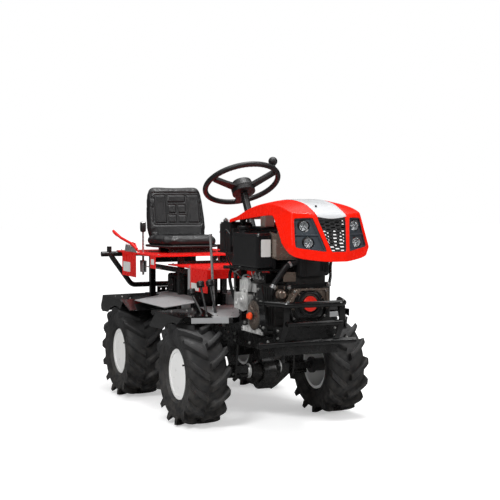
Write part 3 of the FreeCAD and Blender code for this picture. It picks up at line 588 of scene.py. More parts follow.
def make_tyre_mesh():
    pair = lug_pair().piece("lug_pair", RUBBER, None, 40)
    lugs = run_tree(RING_TREE, "lug_ring", bpy.data.meshes.new("empty"),
                    {"Shape": pair, "Count": LUGS, "Finish": RUBBER})
    bpy.data.objects.remove(pair)
    profile = WALL + [(r, -w) for r, w in WALL[-2::-1]]
    points = [spot_on_wheel(r, w, 360 * k / WALL_STEPS) for r, w in profile
              for k in range(WALL_STEPS)]
    faces = ring_faces(len(profile), WALL_STEPS, close=True)
    casing = new_piece("casing", points, faces, RUBBER, None, 38)
    form = bmesh.new()
    form.from_mesh(lugs)
    form.from_mesh(casing.data)
    bpy.data.objects.remove(casing)
    mesh = bpy.data.meshes.new("tyre")
    form.to_mesh(mesh)
    form.free()
    mesh.materials.append(RUBBER)
    return mesh


TYRE = make_tyre_mesh()
for wheel in WHEELS:
    mesh = TYRE.copy()
    mesh.transform(Matrix.Translation(reach(wheel + "_rim")[2]))
    tyre = put(wheel + "_tyre_tread", mesh, wheel + "_wheel")
    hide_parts(wheel + "_tyre")
print("tyre:", len(TYRE.polygons), "faces each")

# %% [markdown]
# Bolts hold everything on a machine like this, so they are scattered by Geometry Nodes too:
# a mesh of loose points says where each one sits, with its direction and size kept as
# attributes. The head is a hexagon on a washer with a short stud standing through a nut.

# %% A node tree that sets bolts on points
def bolt_tree():
    tree, add, given = new_tree("bolts_on_points", Shape="Object", Finish="Material")
    facing = add("GeometryNodeInputNamedAttribute", {"Name": "facing"},
                 data_type="FLOAT_VECTOR")
    size = add("GeometryNodeInputNamedAttribute", {"Name": "size"}, data_type="FLOAT")
    align = add("FunctionNodeAlignRotationToVector", {"Vector": facing.outputs["Attribute"]},
                axis="Z")
    set_copies(add, given, given["Geometry"], align.outputs["Rotation"],
               size.outputs["Attribute"])
    return tree


BOLT_TREE = bolt_tree()


def bolt_shape():
    # unit bolt: washer 2.1 across, hexagon 1.7 across corners, all standing on z = 0
    bolt = Shapes()
    bolt.turned((0, 0, -0.3), (0, 0, 1), [(0, 1.05), (0.48, 1.05), (0.5, 1.0)], 20)
    bolt.turned((0, 0, 0.2), (0, 0, 1), [(0, 0.86), (0.62, 0.86), (0.7, 0.76)], 6)
    bolt.turned((0, 0, 0.8), (0, 0, 1), [(0, 0.44), (0.3, 0.44), (0.36, 0.38)], 12)
    return bolt.piece("bolt", ZINC, None, 30)


def set_bolts(name, spots, body, material):
    """Sets a bolt on each spot: (place, facing, radius)."""
    shape = bolt_shape()
    base = bpy.data.meshes.new(name)
    base.from_pydata([tuple(p) for p, n, r in spots], [], [])
    base.attributes.new("facing", "FLOAT_VECTOR", "POINT")
    base.attributes.new("size", "FLOAT", "POINT")
    base.attributes["facing"].data.foreach_set("vector", [c for p, n, r in spots for c in n])
    base.attributes["size"].data.foreach_set("value", [r for p, n, r in spots])
    mesh = run_tree(BOLT_TREE, name, base, {"Shape": shape, "Finish": material})
    bpy.data.objects.remove(shape)
    return put(name, mesh, body)


def both_sides(spots):
    return spots + [((x, -y, z), (a, -b, c), r) for (x, y, z), (a, b, c), r in spots]


# %% [markdown]
# The seat is one moulded vinyl shell over foam. The foam is puffed by a short cloth run with
# air pressure inside, which crowns the faces and softens the corners. The moulded panel, its
# bars and squares are then pressed in by moving points along X and Z, because a remesh would
# have wiped such narrow grooves away.

# %% Seat foam
SEAT_VOXEL, CLOTH_FRAMES = 0.0055, 15
SEAT_LOW, SEAT_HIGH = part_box("seat")
VINYL = make_finish("seat_vinyl", (0.011, 0.011, 0.0115), 0.38, coat=0.08, tone=0.15,
                    grain=1500, depth=0.00025, rounding=0.001, rub=0.0)


def rounded_step(value, low, high):
    t = max(0.0, min(1.0, (value - low) / (high - low)))
    return t * t * (3 - 2 * t)


def puffed(name, rows, cap):
    """A soft shell over the rings, swollen by a cloth run that moves no point past the cap."""
    shell = Shapes()
    shell.loft(rows)
    piece = shell.piece(name, VINYL, None, 60)
    remesh = piece.modifiers.new("remesh", "REMESH")
    remesh.mode = "VOXEL"
    remesh.voxel_size = SEAT_VOXEL
    bake(piece)
    start = [v.co.copy() for v in piece.data.vertices]
    cloth = piece.modifiers.new("cloth", "CLOTH")
    cloth.settings.quality = 4
    cloth.settings.use_pressure = True
    cloth.settings.uniform_pressure_force = 4
    cloth.settings.effector_weights.gravity = 0
    for step in range(1, CLOTH_FRAMES + 1):
        bpy.context.scene.frame_set(step)
    bake(piece)
    bpy.context.scene.frame_set(1)
    for vertex, old in zip(piece.data.vertices, start):
        move = vertex.co - old
        if move.length > cap:
            vertex.co = old + move * (cap / move.length)
    finer = piece.modifiers.new("finer", "SUBSURF")
    finer.levels = finer.render_levels = 1
    bake(piece)
    piece.data.materials.clear()
    piece.data.materials.append(VINYL)
    for polygon in piece.data.polygons:
        polygon.use_smooth = True
    return piece


def rounded_outline(x0, x1, half, z, corner, count=8):
    # plan outline with rounded corners, front at x1
    outline = []
    for cx, cy, first in ((x1 - corner, half - corner, 0), (x0 + corner, half - corner, 90),
                          (x0 + corner, corner - half, 180), (x1 - corner, corner - half, 270)):
        for k in range(count):
            a = math.radians(first + 90 * k / (count - 1))
            outline.append((cx + corner * math.cos(a), cy + corner * math.sin(a), z))
    return outline


def box_distance(y, z, y0, y1, z0, z1, corner):
    # below zero inside a rounded rectangle
    dy = abs(y - (y0 + y1) / 2) - (y1 - y0) / 2 + corner
    dz = abs(z - (z0 + z1) / 2) - (z1 - z0) / 2 + corner
    return math.hypot(max(dy, 0), max(dz, 0)) + min(max(dy, dz), 0) - corner


def facing(piece, way, least):
    # the points whose surface looks that way, all read before any of them moves
    normals = [v.normal.copy() for v in piece.data.vertices]
    return [v for v, n in zip(piece.data.vertices, normals) if n.dot(way) >= least]


def seat_back():
    base = SEAT_LOW.x + 0.002
    rows = []
    for z, back, front, half, corner in (
            (0.834, 0.052, 0.118, 0.158, 0.020), (0.846, 0.048, 0.124, 0.168, 0.024),
            (0.900, 0.038, 0.110, 0.180, 0.026), (0.960, 0.028, 0.096, 0.180, 0.026),
            (1.010, 0.021, 0.085, 0.178, 0.026), (1.060, 0.014, 0.075, 0.174, 0.026),
            (1.095, 0.009, 0.066, 0.168, 0.026), (1.120, 0.007, 0.059, 0.158, 0.022),
            (1.134, 0.009, 0.053, 0.146, 0.018), (1.140, 0.014, 0.046, 0.132, 0.014)):
        rows.append(rounded_outline(base + back, base + front, half, z, corner))
    piece = puffed("seat_back", rows, 0.006)
    pads = [(-0.137, -0.068, 0.933, 1.092), (0.068, 0.137, 0.933, 1.092),
            (-0.054, 0.054, 1.052, 1.092), (-0.054, -0.007, 0.990, 1.034),
            (0.007, 0.054, 0.990, 1.034), (-0.054, -0.007, 0.933, 0.976),
            (0.007, 0.054, 0.933, 0.976)]
    for vertex in facing(piece, AHEAD, 0.35):
        y, z = vertex.co.y, vertex.co.z
        rim = box_distance(y, z, -0.152, 0.152, 0.918, 1.108, 0.016)
        depth = 0.0045 * (1 - rounded_step(abs(rim), 0.0, 0.0055))
        depth += 0.0035 * (1 - rounded_step(rim, -0.003, 0.001))
        near = min(box_distance(y, z, *pad, 0.007) for pad in pads)
        depth += 0.0030 * (1 - rounded_step(abs(near - 0.001), 0.0, 0.0045))
        depth -= 0.0040 * (1 - rounded_step(near, -0.006, 0.001))
        vertex.co.x -= depth
    return piece


def seat_cushion():
    front, rear = SEAT_HIGH.x - 0.003, SEAT_LOW.x + 0.068
    side = [(0, 0.104), (-0.008, 0.134), (-0.052, 0.166), (-0.150, 0.189), (-0.240, 0.195),
            (rear - front, 0.182)]
    rows = []
    for z, inset in ((0.806, 0.016), (0.812, 0.008), (0.826, 0.003), (0.842, 0.003),
                     (0.852, 0.010), (0.857, 0.022)):
        half = []
        for i in range(len(side) - 1):
            (a, b), (c, d) = side[i], side[i + 1]
            for k in range(6):
                half.append((a + (c - a) * k / 6, b + (d - b) * k / 6))
        half.append(side[-1])
        outline = []
        for x, y in half:
            outline.append((front + x * (1 - inset / 0.15) - inset, y - inset, z))
        outline += [(x, -y, w) for x, y, w in outline[::-1]]
        rows.append(outline)
    piece = puffed("seat_cushion", rows, 0.007)
    for vertex in facing(piece, UP, 0.3):
        x, y = vertex.co.x - front, vertex.co.y
        welt = box_distance(x, y, -0.235, -0.030, -0.132, 0.132, 0.03)
        vertex.co.z -= 0.0045 * (1 - rounded_step(abs(welt), 0.0, 0.006))
        vertex.co.z -= 0.0050 * (1 - rounded_step(welt, -0.05, 0.0))
        for line in (-0.044, 0.044):
            if welt < 0:
                vertex.co.z -= 0.0030 * (1 - rounded_step(abs(y - line), 0.0, 0.005))
    return piece


for foam in (seat_back(), seat_cushion()):
    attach(foam, "rear_half")
    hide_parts("seat")
    print(foam.name, len(foam.data.polygons), "faces")

# %% [markdown]
# Under the foam a pressed pan shows as a thin lip all the way round. Two rails on four short
# posts carry it on the red console.

# %% Seat pan and its mount
def seat_pan():
    front, rear = SEAT_HIGH.x, SEAT_LOW.x + 0.066
    half = [(0, 0.108), (-0.010, 0.139), (-0.054, 0.171), (-0.152, 0.195), (-0.242, 0.202),
            (rear - front, 0.188)]
    outline = [(front + x, y) for x, y in half]
    outline += [(x, -y) for x, y in outline[::-1]]
    tips = (0, 1, len(outline) - 1, len(outline) - 2)
    rings = [[(x - inset * (i in tips), y - math.copysign(inset, y), z)
              for i, (x, y) in enumerate(outline)]
             for z, inset in ((0.7965, 0.030), (0.7965, 0.006), (0.799, 0.001), (0.806, 0.0),
                              (0.809, 0.003), (0.808, 0.020))]
    pan = Shapes()
    pan.loft(rings)
    pan.piece("seat_pan", SOFT_BLACK, "rear_half", 40)
    mount = Shapes()
    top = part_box("seat_console")[1].z - 0.028
    under = 0.7965
    x0 = front - 0.06
    for side in (1, -1):
        for x in (x0 - 0.21, x0 - 0.04):
            mount.rod((x, 0.09 * side, top), (x, 0.09 * side, 0.797), 0.011)
        low, high = sorted((0.078 * side, 0.105 * side))
        mount.box((x0 - 0.23, low, 0.786), (x0 - 0.02, high, under))
    mount.piece("seat_mount", FRAME_BLACK, "rear_half")


seat_pan()

# %% [markdown]
# The hood is one plastic moulding with soft edges. A coarse cage of its corner points is
# rounded by subdivision, and a crease value on an edge keeps that edge tighter. The cage has
# two parts that share their points: the top, in rows from the tail to the nose, and the
# mask, in rows from the shoulder to the chin with openings for two lamps and the grille.

# %% Hood
HOOD_WALL = 0.005
WINDOW_CREASE = 0.75
NOSE_TURN, STRIPE_DROOP = 1130, 10   # station where the stripe turns down, and its sag there
# station, half width, half width of the crown, lower edge, shoulder and crown heights
HOOD_ROWS = [(392, 152, 118, 958, 971, 977), (470, 150, 108, 970, 984, 991),
             (600, 158, 71, 980, 1020, 1036), (750, 164, 71, 992, 1049, 1066),
             (905, 170, 71, 1004, 1053, 1073), (1015, 172, 71, 1003, 1034, 1054),
             (1056, 171, 71, 1003, 1023, 1042)]
# mask rows from the shoulder down: points from the middle round the corner to the cheek
MASK_ROWS = [
    [(1127, 0, 1005), (1127, 71, 1006), (1124, 90, 1009), (1096, 159, 1013), (1089, 168, 1012),
     (1062, 170, 1006), (1015, 172, 1004), (913, 171, 1005)],
    [(1135, 0, 994), (1135, 70, 994), (1134, 89, 994), (1098, 163, 990), (1092, 174, 990),
     (1066, 175, 989), (1032, 176, 988), (932, 176, 987)],
    [(1206, 0, 848), (1206, 36, 848), (1200, 53, 848), (1139, 176, 866), (1132, 190, 864),
     (1114, 195, 868), (1090, 196, 876), (1036, 193, 896)],
    [(1203, 0, 806), (1203, 35, 806), (1197, 52, 806), (1150, 148, 817), (1130, 178, 828),
     (1108, 190, 840), (1086, 195, 855), (1044, 195, 884)]]
WINDOWS = [(1, 0), (1, 2)]


def hood_top(row):
    x, wide, crown, low, shoulder, high = row

    def between(y):
        share = (y - crown) / (wide - crown)
        return high + (shoulder - high) * share + 5 * math.sin(math.pi * share)

    return [(x, 0, high), (x, crown, high), (x, crown + 14, between(crown + 14)),
            (x, wide - 11, between(wide - 11)), (x, wide, shoulder)]


def rounded_skin(name, form, levels, thick, material, even=False, corners=False):
    """Rounds a coarse cage by subdivision and gives it a wall on its inner side."""
    mesh = bpy.data.meshes.new(name)
    form.to_mesh(mesh)
    form.free()
    piece = put(name, mesh)
    finer = piece.modifiers.new("finer", "SUBSURF")
    finer.levels = finer.render_levels = levels
    if corners:
        finer.boundary_smooth = "PRESERVE_CORNERS"
    wall = piece.modifiers.new("wall", "SOLIDIFY")
    wall.thickness = thick
    wall.offset = -1
    wall.use_even_offset = even
    bake(piece)
    piece.data.materials.append(material)
    tidy_mesh(piece.data, 40)
    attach(piece, "front_half")
    return piece


def make_hood():
    form = bmesh.new()
    crease = form.edges.layers.float.new("crease_edge")
    corner_crease = form.verts.layers.float.new("crease_vert")
    for side in (1, -1):
        def corner(spot):
            return form.verts.new(at(spot[0], side * spot[1], spot[2]))

        mask = [[corner(p) for p in row] for row in MASK_ROWS]
        for row in (1, 2):
            for k in (1, 2, 3):
                mask[row][k][corner_crease] = WINDOW_CREASE
        top = [[corner(p) for p in hood_top(row)] for row in HOOD_ROWS] + [mask[0][:5]]
        low = [corner((row[0], row[1], row[3])) for row in HOOD_ROWS[:4]]
        low += [mask[0][7], mask[0][6], mask[0][5]]
        for a, b in zip(top, top[1:]):
            for k in range(4):
                form.faces.new((a[k], a[k + 1], b[k + 1], b[k]))
        for i in range(6):
            form.faces.new((top[i][4], low[i], low[i + 1], top[i + 1][4]))
        form.faces.new((top[6][4], low[6], mask[0][4]))
        for i in range(3):
            for k in range(7):
                if (i, k) not in WINDOWS:
                    a, b = mask[i], mask[i + 1]
                    form.faces.new((a[k], a[k + 1], b[k + 1], b[k]))
    bmesh.ops.remove_doubles(form, verts=form.verts, dist=1e-5)
    bmesh.ops.recalc_face_normals(form, faces=form.faces)
    for edge in form.edges:
        sharp = edge.is_boundary or edge.calc_face_angle(0) > math.radians(14)
        edge[crease] = 0.90 if edge.is_boundary else (0.55 if sharp else 0.0)
        edge.smooth = True
    hood = rounded_skin("hood_cover", form, 3, HOOD_WALL, RED_PLASTIC, even=True)
    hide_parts("hood_shell")


def make_stripe():
    # a raised grey panel along the crown, which droops over the nose down to the grille
    rows = [(row[0], row[2], row[5]) for row in HOOD_ROWS[2:]]
    rows += [(1128, 71, 1009), (1136, 71, 1003), (1139, 71, 998)]
    form = bmesh.new()
    grid = []
    for x, wide, z in rows:
        nose = x > NOSE_TURN
        line = []
        for share in (-1, -0.96, -0.5, 0, 0.5, 0.96, 1):
            rise = 0.4 if abs(share) == 1 else 2.6
            if nose:
                spot = at(x + rise - 1.0, wide * share, z - STRIPE_DROOP * (1 - share * share))
            else:
                spot = at(x, wide * share, z + rise)
            line.append(form.verts.new(spot))
        grid.append(line)
    for a, b in zip(grid, grid[1:]):
        for k in range(6):
            form.faces.new((a[k], a[k + 1], b[k + 1], b[k]))
    bmesh.ops.recalc_face_normals(form, faces=form.faces)
    stripe = rounded_skin("hood_stripe_panel", form, 2, 0.003, STRIPE_GREY, corners=True)
    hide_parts("hood_stripe")


make_hood()
make_stripe()

# %% [markdown]
# A work lamp is a bright bowl with many small facets behind a clear dome, held by a dark
# ring. The bowl and the glass are turned shapes set at the four CAD lamps, and they stand in
# for those solids. The facets are real steps in the bowl, so they also show in other views.

# %% Headlamps
# Painted reflection: the bowls are only partly metallic, and the rest is white paint that stands in
# for the bright reflections of a chrome bowl.
CHROME_WITH_PAINTED_REFLECTION = make_finish("lamp_chrome_painted_reflection", (0.86, 0.87, 0.88), 0.12, metallic=0.6, tone=0.04,
                     grain=200, depth=0.0001, rounding=0.0006, rub=0.0)


def glass(name, colour, rough):
    material, add = node_material(name)
    place = add("ShaderNodeTexCoord").outputs["Object"]
    texture = add("ShaderNodeTexNoise", {"Scale": 90, "Vector": place})
    spread = ranged(add, texture.outputs["Fac"], 0, 1, rough, rough + 0.05)
    shader = add("ShaderNodeBsdfPrincipled", {
        "Base Color": (*colour, 1), "Transmission Weight": 1.0, "IOR": 1.35,
        "Roughness": spread})
    add("ShaderNodeOutputMaterial", {"Surface": shader.outputs[0]})
    return material


BOWL_SIDES = 16
LENS = glass("lamp_lens", (0.97, 0.98, 0.99), 0.01)


def lamp_spots():
    # centres of the four lamps' front faces
    return [at(x, side * y, z) for x, y, z in ((1117, 124, 957), (1147, 117, 886))
            for side in (1, -1)]


def make_headlamps():
    bowls, rings, lenses = Shapes(), Shapes(), Shapes()
    for spot in lamp_spots():
        back = spot - AHEAD * 0.034
        rows = [(0.002, 0.0045), (0.004, 0.010), (0.009, 0.0155), (0.016, 0.0190),
                (0.026, 0.0212)]
        points = []
        for i, (run, radius) in enumerate(rows):
            for k in range(BOWL_SIDES):
                a = 2 * math.pi * (k + 0.5 * (i % 2)) / BOWL_SIDES
                points.append(back + Vector((run + 0.0012 * (k % 2), radius * math.cos(a),
                                             radius * math.sin(a))))
        bowls.add(points, ring_faces(len(rows), BOWL_SIDES) + [list(range(BOWL_SIDES))])
        bowls.turned(back, back + AHEAD, [(0.002, 0.0048), (0.012, 0.0048), (0.016, 0.0030)],
                     12)
        for k in range(6):
            a = math.pi * k / 3
            root = back + Vector((0.010, 0.0118 * math.cos(a), 0.0118 * math.sin(a)))
            bowls.turned(root, root + AHEAD, [(0, 0.0040), (0.004, 0.0045), (0.007, 0.0030)],
                         10)
        rings.turned(back, back + AHEAD, [
            (-0.004, 0.010), (-0.004, 0.0246), (0.032, 0.0246), (0.034, 0.0238),
            (0.0345, 0.0222), (0.032, 0.0214), (0.001, 0.0214), (0.001, 0.010)], 40)
        lenses.turned(back, back + AHEAD, [
            (0.0300, 0.0212), (0.0335, 0.0210), (0.0360, 0.0170), (0.0375, 0.0100),
            (0.0380, 0.0020)], 40)
    bowl = bowls.piece("headlamp_bowls", CHROME_WITH_PAINTED_REFLECTION, "front_half", 1)
    ring = rings.piece("headlamp_rings", BLACK_PLASTIC, "front_half", 40)
    lens = lenses.piece("headlamp_glass", LENS, "front_half", 50)
    for piece in (bowl, ring, lens):
        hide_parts("headlamps")


make_headlamps()

# %% [markdown]
# The grille is a net of long six-sided holes in staggered rows. One open link is made, and
# Geometry Nodes copy it to points that fill the tapered window between the two red posts.

# %% Grille net
def point_tree():
    tree, add, given = new_tree("links_on_points", Shape="Object", Lean="Vector",
                                Finish="Material")
    set_copies(add, given, given["Geometry"], given["Lean"])
    return tree


POINT_TREE = point_tree()
NET_WIDE, NET_HIGH, NET_WEB, NET_DEEP = 0.0245, 0.0147, 0.0036, 0.006
NET_LOW, NET_TOP = 0.848, 0.994
NET_LEAN = 0.476           # the mask comes forward this much for each step down


def net_link():
    # six-sided ring facing X: an outer and an inner outline, front and back
    link = Shapes()
    outline = [(-0.5, 0), (-0.3, 0.5), (0.3, 0.5), (0.5, 0), (0.3, -0.5), (-0.3, -0.5)]
    rings = []
    for x in (0, -NET_DEEP):
        for web in (0.0, NET_WEB):
            rings.append([(x, y * (NET_WIDE * 1.25) - math.copysign(web, y) * (abs(y) > 0.4),
                           z * NET_HIGH - (math.copysign(web, z) if z else 0))
                          for y, z in outline])
    faces = []
    for k in range(6):
        m = (k + 1) % 6
        faces += [[k, m, 6 + m, 6 + k], [12 + m, 12 + k, 18 + k, 18 + m],
                  [6 + k, 6 + m, 18 + m, 18 + k], [m, k, 12 + k, 12 + m]]
    link.add([p for ring in rings for p in ring], faces)
    return link.piece("link", BLACK_PLASTIC, None, 20)


def make_grille():
    low, high = NET_LOW, NET_TOP
    foot, spread = 0.036, 0.035    # half width at the bottom, and what it gains to the top
    link = net_link()
    spots = []

    def face_x(z):
        return at(1204, 0, 0).x - NET_LEAN * (z - low)

    for row in range(int((high - low) / (NET_HIGH / 2)) + 1):
        z = low + row * NET_HIGH / 2
        half = foot + spread * (z - low) / (high - low)
        shift = NET_WIDE if row % 2 else 0
        for k in range(-3, 3):
            y = 2 * NET_WIDE * k + shift
            if abs(y) < half:
                spots.append((face_x(z) - 0.005, y, z))
    base = bpy.data.meshes.new("net_points")
    base.from_pydata(spots, [], [])
    mesh = run_tree(POINT_TREE, "grille_net", base,
                    {"Shape": link, "Lean": (0.0, -math.atan(NET_LEAN), 0.0),
                     "Finish": BLACK_PLASTIC})
    bpy.data.objects.remove(link)
    put("grille_net", mesh, "front_half")
    frame_bars = Shapes()
    outline = [(-0.072, 0.999), (0.072, 0.999), (0.037, 0.846), (-0.037, 0.846)]
    inner = [(-0.065, 0.981), (0.065, 0.981), (0.032, 0.852), (-0.032, 0.852)]
    for i in range(4):
        m = (i + 1) % 4
        corners = (outline[i], outline[m], inner[m], inner[i])
        frame_bars.slab([(face_x(z) - 0.001, y, z) for y, z in corners], (-0.012, 0, 0))
    surround = frame_bars.piece("grille_surround", BLACK_PLASTIC, "front_half")
    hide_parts("grille")
    print("grille:", len(spots), "links")


make_grille()

# %% [markdown]
# Behind the net hang a dark band and two dark strips, painted shade: dark sheets that stand in
# for the shade inside the hood, so that only some of the lower holes look right through the
# machine, and a slab closes the gap behind each red post. A small screw sits on the stripe, and a
# bronze heat shield with a folded lip hangs below the hood's right cheek; its bronze is a painted
# highlight on dark sheet metal.

# %% Under the hood
def under_hood():
    # Painted shade: dark sheets that stand in for the shade inside the hood, behind the grille.
    shade_sheets = Shapes()
    for outline in (((-60, 994), (80, 994), (80, 940), (-50, 944)),
                    ((14, 941), (38, 941), (38, 874), (24, 866)),
                    ((56, 941), (72, 941), (68, 862), (58, 860))):
        shade_sheets.plate("x", 1084, outline, -0.004)
    shade_sheets.plate("z", 996, ((1110, -66), (1110, 66), (960, 80), (960, -80)), 0.003)
    shade_sheets.piece("grille_duct", BLACK_PLASTIC, "front_half")
    backs = Shapes()
    for side in (-1, 1):
        backs.slab([at(x, side * y, z) for x, y, z in ((1188, 38, 848), (1184, 66, 848),
                                                       (1118, 102, 994), (1124, 73, 994))],
                   (-0.004, 0, 0))
    backs.piece("post_backs", BEZEL_BLUE, "front_half")
    # The heat shield's bronze is a painted highlight on dark sheet metal.
    shield = Shapes()
    outline = [(-128, 800), (-20, 800), (-20, 935), (-112, 935), (-128, 915)]
    shield.plate("x", 858, outline, 0.0015)
    shield.plate("x", 858, ((-128, 800), (-20, 800), (-20, 803), (-128, 803)), 0.014)
    shield.plate("y", -128, ((858, 800), (858, 915), (790, 925), (790, 812)), 0.0015)
    shield.piece("heat_shield", BRONZE_PAINTED_HIGHLIGHT, "front_half")


under_hood()
set_bolts("stripe_screw", [(at(1068, -40, 1041.5), (0.45, -0.05, 1), 0.0045)], "front_half",
          BLACK_PLASTIC)

# %% [markdown]
# The cooling fan's cover is black sheet metal with a bronze sheen painted on as a highlight,
# which fades to near-black toward the bottom. A plain red disc sits inside dark rings, and a
# black bowl fills the cover's lower middle. The intake hose is ribbed: on each step of its line
# the pipe swells and narrows again.

# %% Fan cover and intake
DISC_RED = make_finish("disc_red", (0.75, 0.020, 0.010), 0.30, tone=0.06, rounding=0.002,
                       rub=0.2, rubbed=(0.8, 0.2, 0.12))
FAN_MIDDLE = (0, 604)
# along each step of the hose: (share of the step, radius)
HOSE_RIB = ((0, 0.0122), (0.3, 0.0142), (0.62, 0.0142), (0.9, 0.0122))


def make_fan_trim():
    y, z = FAN_MIDDLE
    middle = at(940, y, z)
    ahead = middle + AHEAD
    disc = Shapes()
    disc.turned(middle, ahead, [(0, 0.020), (0.0, 0.0345), (0.0075, 0.0345), (0.0085, 0.0335),
                                (0.0088, 0.010)], 48)
    disc.piece("fan_disc", DISC_RED, "front_half")
    ring = Shapes()
    for inner, outer, depth in ((0.0455, 0.0545, 0.0072), (0.058, 0.0605, 0.003),
                                (0.036, 0.0385, 0.003)):
        ring.turned(middle, ahead, [(-0.006, inner), (depth, inner),
                                    (depth + 0.0006, inner + 0.0008),
                                    (depth + 0.0006, outer - 0.0008), (depth, outer),
                                    (-0.006, outer), (-0.006, inner)], 48)
    ring.piece("fan_rings", BLACK_PLASTIC, "front_half", 50)
    bracket = Shapes()
    bracket.plate("x", 909, ((-109, 668), (123, 676), (123, 694), (-109, 686)), 0.0015)
    bracket.plate("x", 890, ((-109, 686), (123, 694), (123, 696), (-109, 688)), 0.0215)
    bracket.pipe([(900, 121, 690), (880, 138, 720), (872, 142, 760), (885, 140, 800)], 0.007, 10)
    bracket.pipe([(925, 104, 668), (915, 98, 630), (915, 70, 585), (905, 60, 540)], 0.006, 10)
    bracket.piece("fan_bracket", GLOSS_BLACK, "front_half", 50)
    bowl = Shapes()
    low = at(900, 0, 585)
    bowl.turned(low, low + AHEAD, [(0, 0.092), (0.022, 0.090), (0.032, 0.084),
                                               (0.036, 0.070), (0.036, 0.020)], 48)
    bowl.piece("fan_bowl", GLOSS_BLACK, "front_half", 50)
    spots = [(at(916, u, w), AHEAD, 0.0085) for u, w in ((-92, 678), (106, 685))]
    spots += [(at(940, u, w), AHEAD, 0.005)
              for u, w in ((-80, 540), (75, 548), (-76, 660), (82, 660))]
    set_bolts("fan_bolts", spots, "front_half", ZINC)


def make_intake():
    hose = Shapes()
    route = [(868, -24, 786), (866, -72, 774), (864, -112, 728), (862, -145, 679),
             (860, -150, 640)]
    line = smooth_line([at(*p) for p in route], 9)
    rows, radii = [], []
    for i, spot in enumerate(line[:-1]):
        for part, radius in HOSE_RIB:
            rows.append(spot.lerp(line[i + 1], part))
            radii.append(radius)
    hose.sweep(rows, radii, 16, AHEAD)
    hose.piece("intake_hose", SOFT_BLACK, "front_half", 50)
    # The canister is a black cap; its bronze finish is a painted highlight.
    canister = Shapes()
    canister.turned(at(905, -118, 646), at(906, -118, 646),
                    [(-0.034, 0.0205), (-0.004, 0.0205), (0.001, 0.0185), (0.004, 0.012),
                     (0.005, 0.004)], 32)
    canister.turned(at(880, -118, 646), at(881, -118, 646), [(-0.002, 0.0225), (0.002, 0.0225)],
                    32)
    canister.piece("intake_canister", BRONZE_PAINTED_HIGHLIGHT, "front_half", 50)
    clips = Shapes()
    for low, high in (((866, -60, 779), (866, -70, 775)), ((862, -140, 686), (861, -147, 672))):
        clips.rod(at(*low), at(*high), 0.0152, 20)
    clips.piece("hose_clips", BARE_STEEL, "front_half")


make_fan_trim()
make_intake()

# %% [markdown]
# The engine's right side is bare cast metal: a darker gear cover with ribs and a ring of
# small bolts, a housing with fins above it, and a governor housing. All of it stands on the
# CAD castings.

# %% Engine details
CAST_DUSK = make_finish("cast_dusk", (0.13, 0.105, 0.088), 0.30, metallic=0.5, tone=0.35,
                        grain=420, depth=0.0003, rub=0.4, rubbed=(0.5, 0.48, 0.45))
CAP_ORANGE = make_finish("cap_orange", (0.85, 0.075, 0.015), 0.38, tone=0.08, rub=0.2,
                         rubbed=(0.95, 0.3, 0.15))


def ring_of(middle, radius, count, first=0.0):
    # spots round a point on a face that looks to the right
    spots = []
    for k in range(count):
        a = math.radians(first) + 2 * math.pi * k / count
        spots.append(middle + Vector((radius * math.cos(a), 0, radius * math.sin(a))))
    return spots


def make_engine_details():
    cover = Shapes()
    middle = at(712, -172, 540)
    gears = Shapes()
    gears.turned(middle, middle + RIGHT, [(-0.006, 0.066), (0.001, 0.066), (0.004, 0.060),
                                          (0.004, 0.040), (0.0015, 0.036), (0.0015, 0.010)], 48)
    for spot in ring_of(middle, 0.052, 10, 12):
        inner = middle.lerp(spot, 0.45)
        gears.slab([inner + Vector((0, -0.001, 0.0022)), spot + Vector((0, -0.001, 0.0022)),
                    spot - Vector((0, 0.001, 0.0022)), inner - Vector((0, 0.001, 0.0022))],
                   (0, -0.0045, 0))
    gears.piece("gear_cover", CAST_DUSK, "front_half", 30)
    upper = [(556, 640), (648, 640), (662, 676), (640, 706), (590, 706), (560, 676)]
    cover.plate("y", -158, upper, -0.014)
    for x in range(520, 640, 15):
        cover.box(at(x, -184, 556), at(x + 5, -176, 632))
    for x in (572, 592, 612, 632):
        cover.box(at(x, -178, 646), at(x + 6, -171, 694))
    lobes = [(642, 646), (612, 652), (572, 636), (520, 630), (506, 604), (510, 566), (540, 548),
             (566, 552), (604, 546), (640, 556), (650, 600)]
    cover.plate("y", -169, lobes, -0.008)
    cover.turned(at(606, -177, 598), at(606, -178, 598),
                 [(0, 0.025), (0.010, 0.024), (0.012, 0.016), (0.018, 0.014), (0.019, 0.004)], 32)
    cover.turned(at(548, -177, 588), at(548, -178, 588),
                 [(0, 0.018), (0.009, 0.017), (0.009, 0.010), (0.005, 0.008)], 28)
    for x, z, tall in ((592, 632, 16), (628, 622, 14), (570, 560, 18), (530, 618, 12)):
        cover.box(at(x, -181, z), at(x + 7, -176, z + tall))
    cover.plate("y", -157, ((560, 452), (784, 452), (784, 470), (740, 484), (640, 486),
                            (560, 470)), -0.008)
    for x in (585, 615, 650, 690, 735, 765):
        cover.box(at(x, -170, 455), at(x + 5, -164, 478))
    cover.plate("y", -140, ((600, 640), (690, 640), (700, 676), (622, 684)), -0.010)
    cover.piece("engine_covers", CAST_SILVER, "front_half", 30)
    set_bolts("cover_bolts", [(p, RIGHT, 0.0052) for p in ring_of(at(712, -164, 540), 0.078, 10)]
              + [(at(x, -177, z), RIGHT, 0.0045) for x, z in
                 ((630, 640), (590, 640), (520, 612), (518, 574), (548, 556), (636, 566))]
              + [(at(x, -165, z), RIGHT, 0.004) for x, z in
                 ((572, 462), (632, 476), (712, 476), (774, 462))], "front_half", ZINC)


make_engine_details()
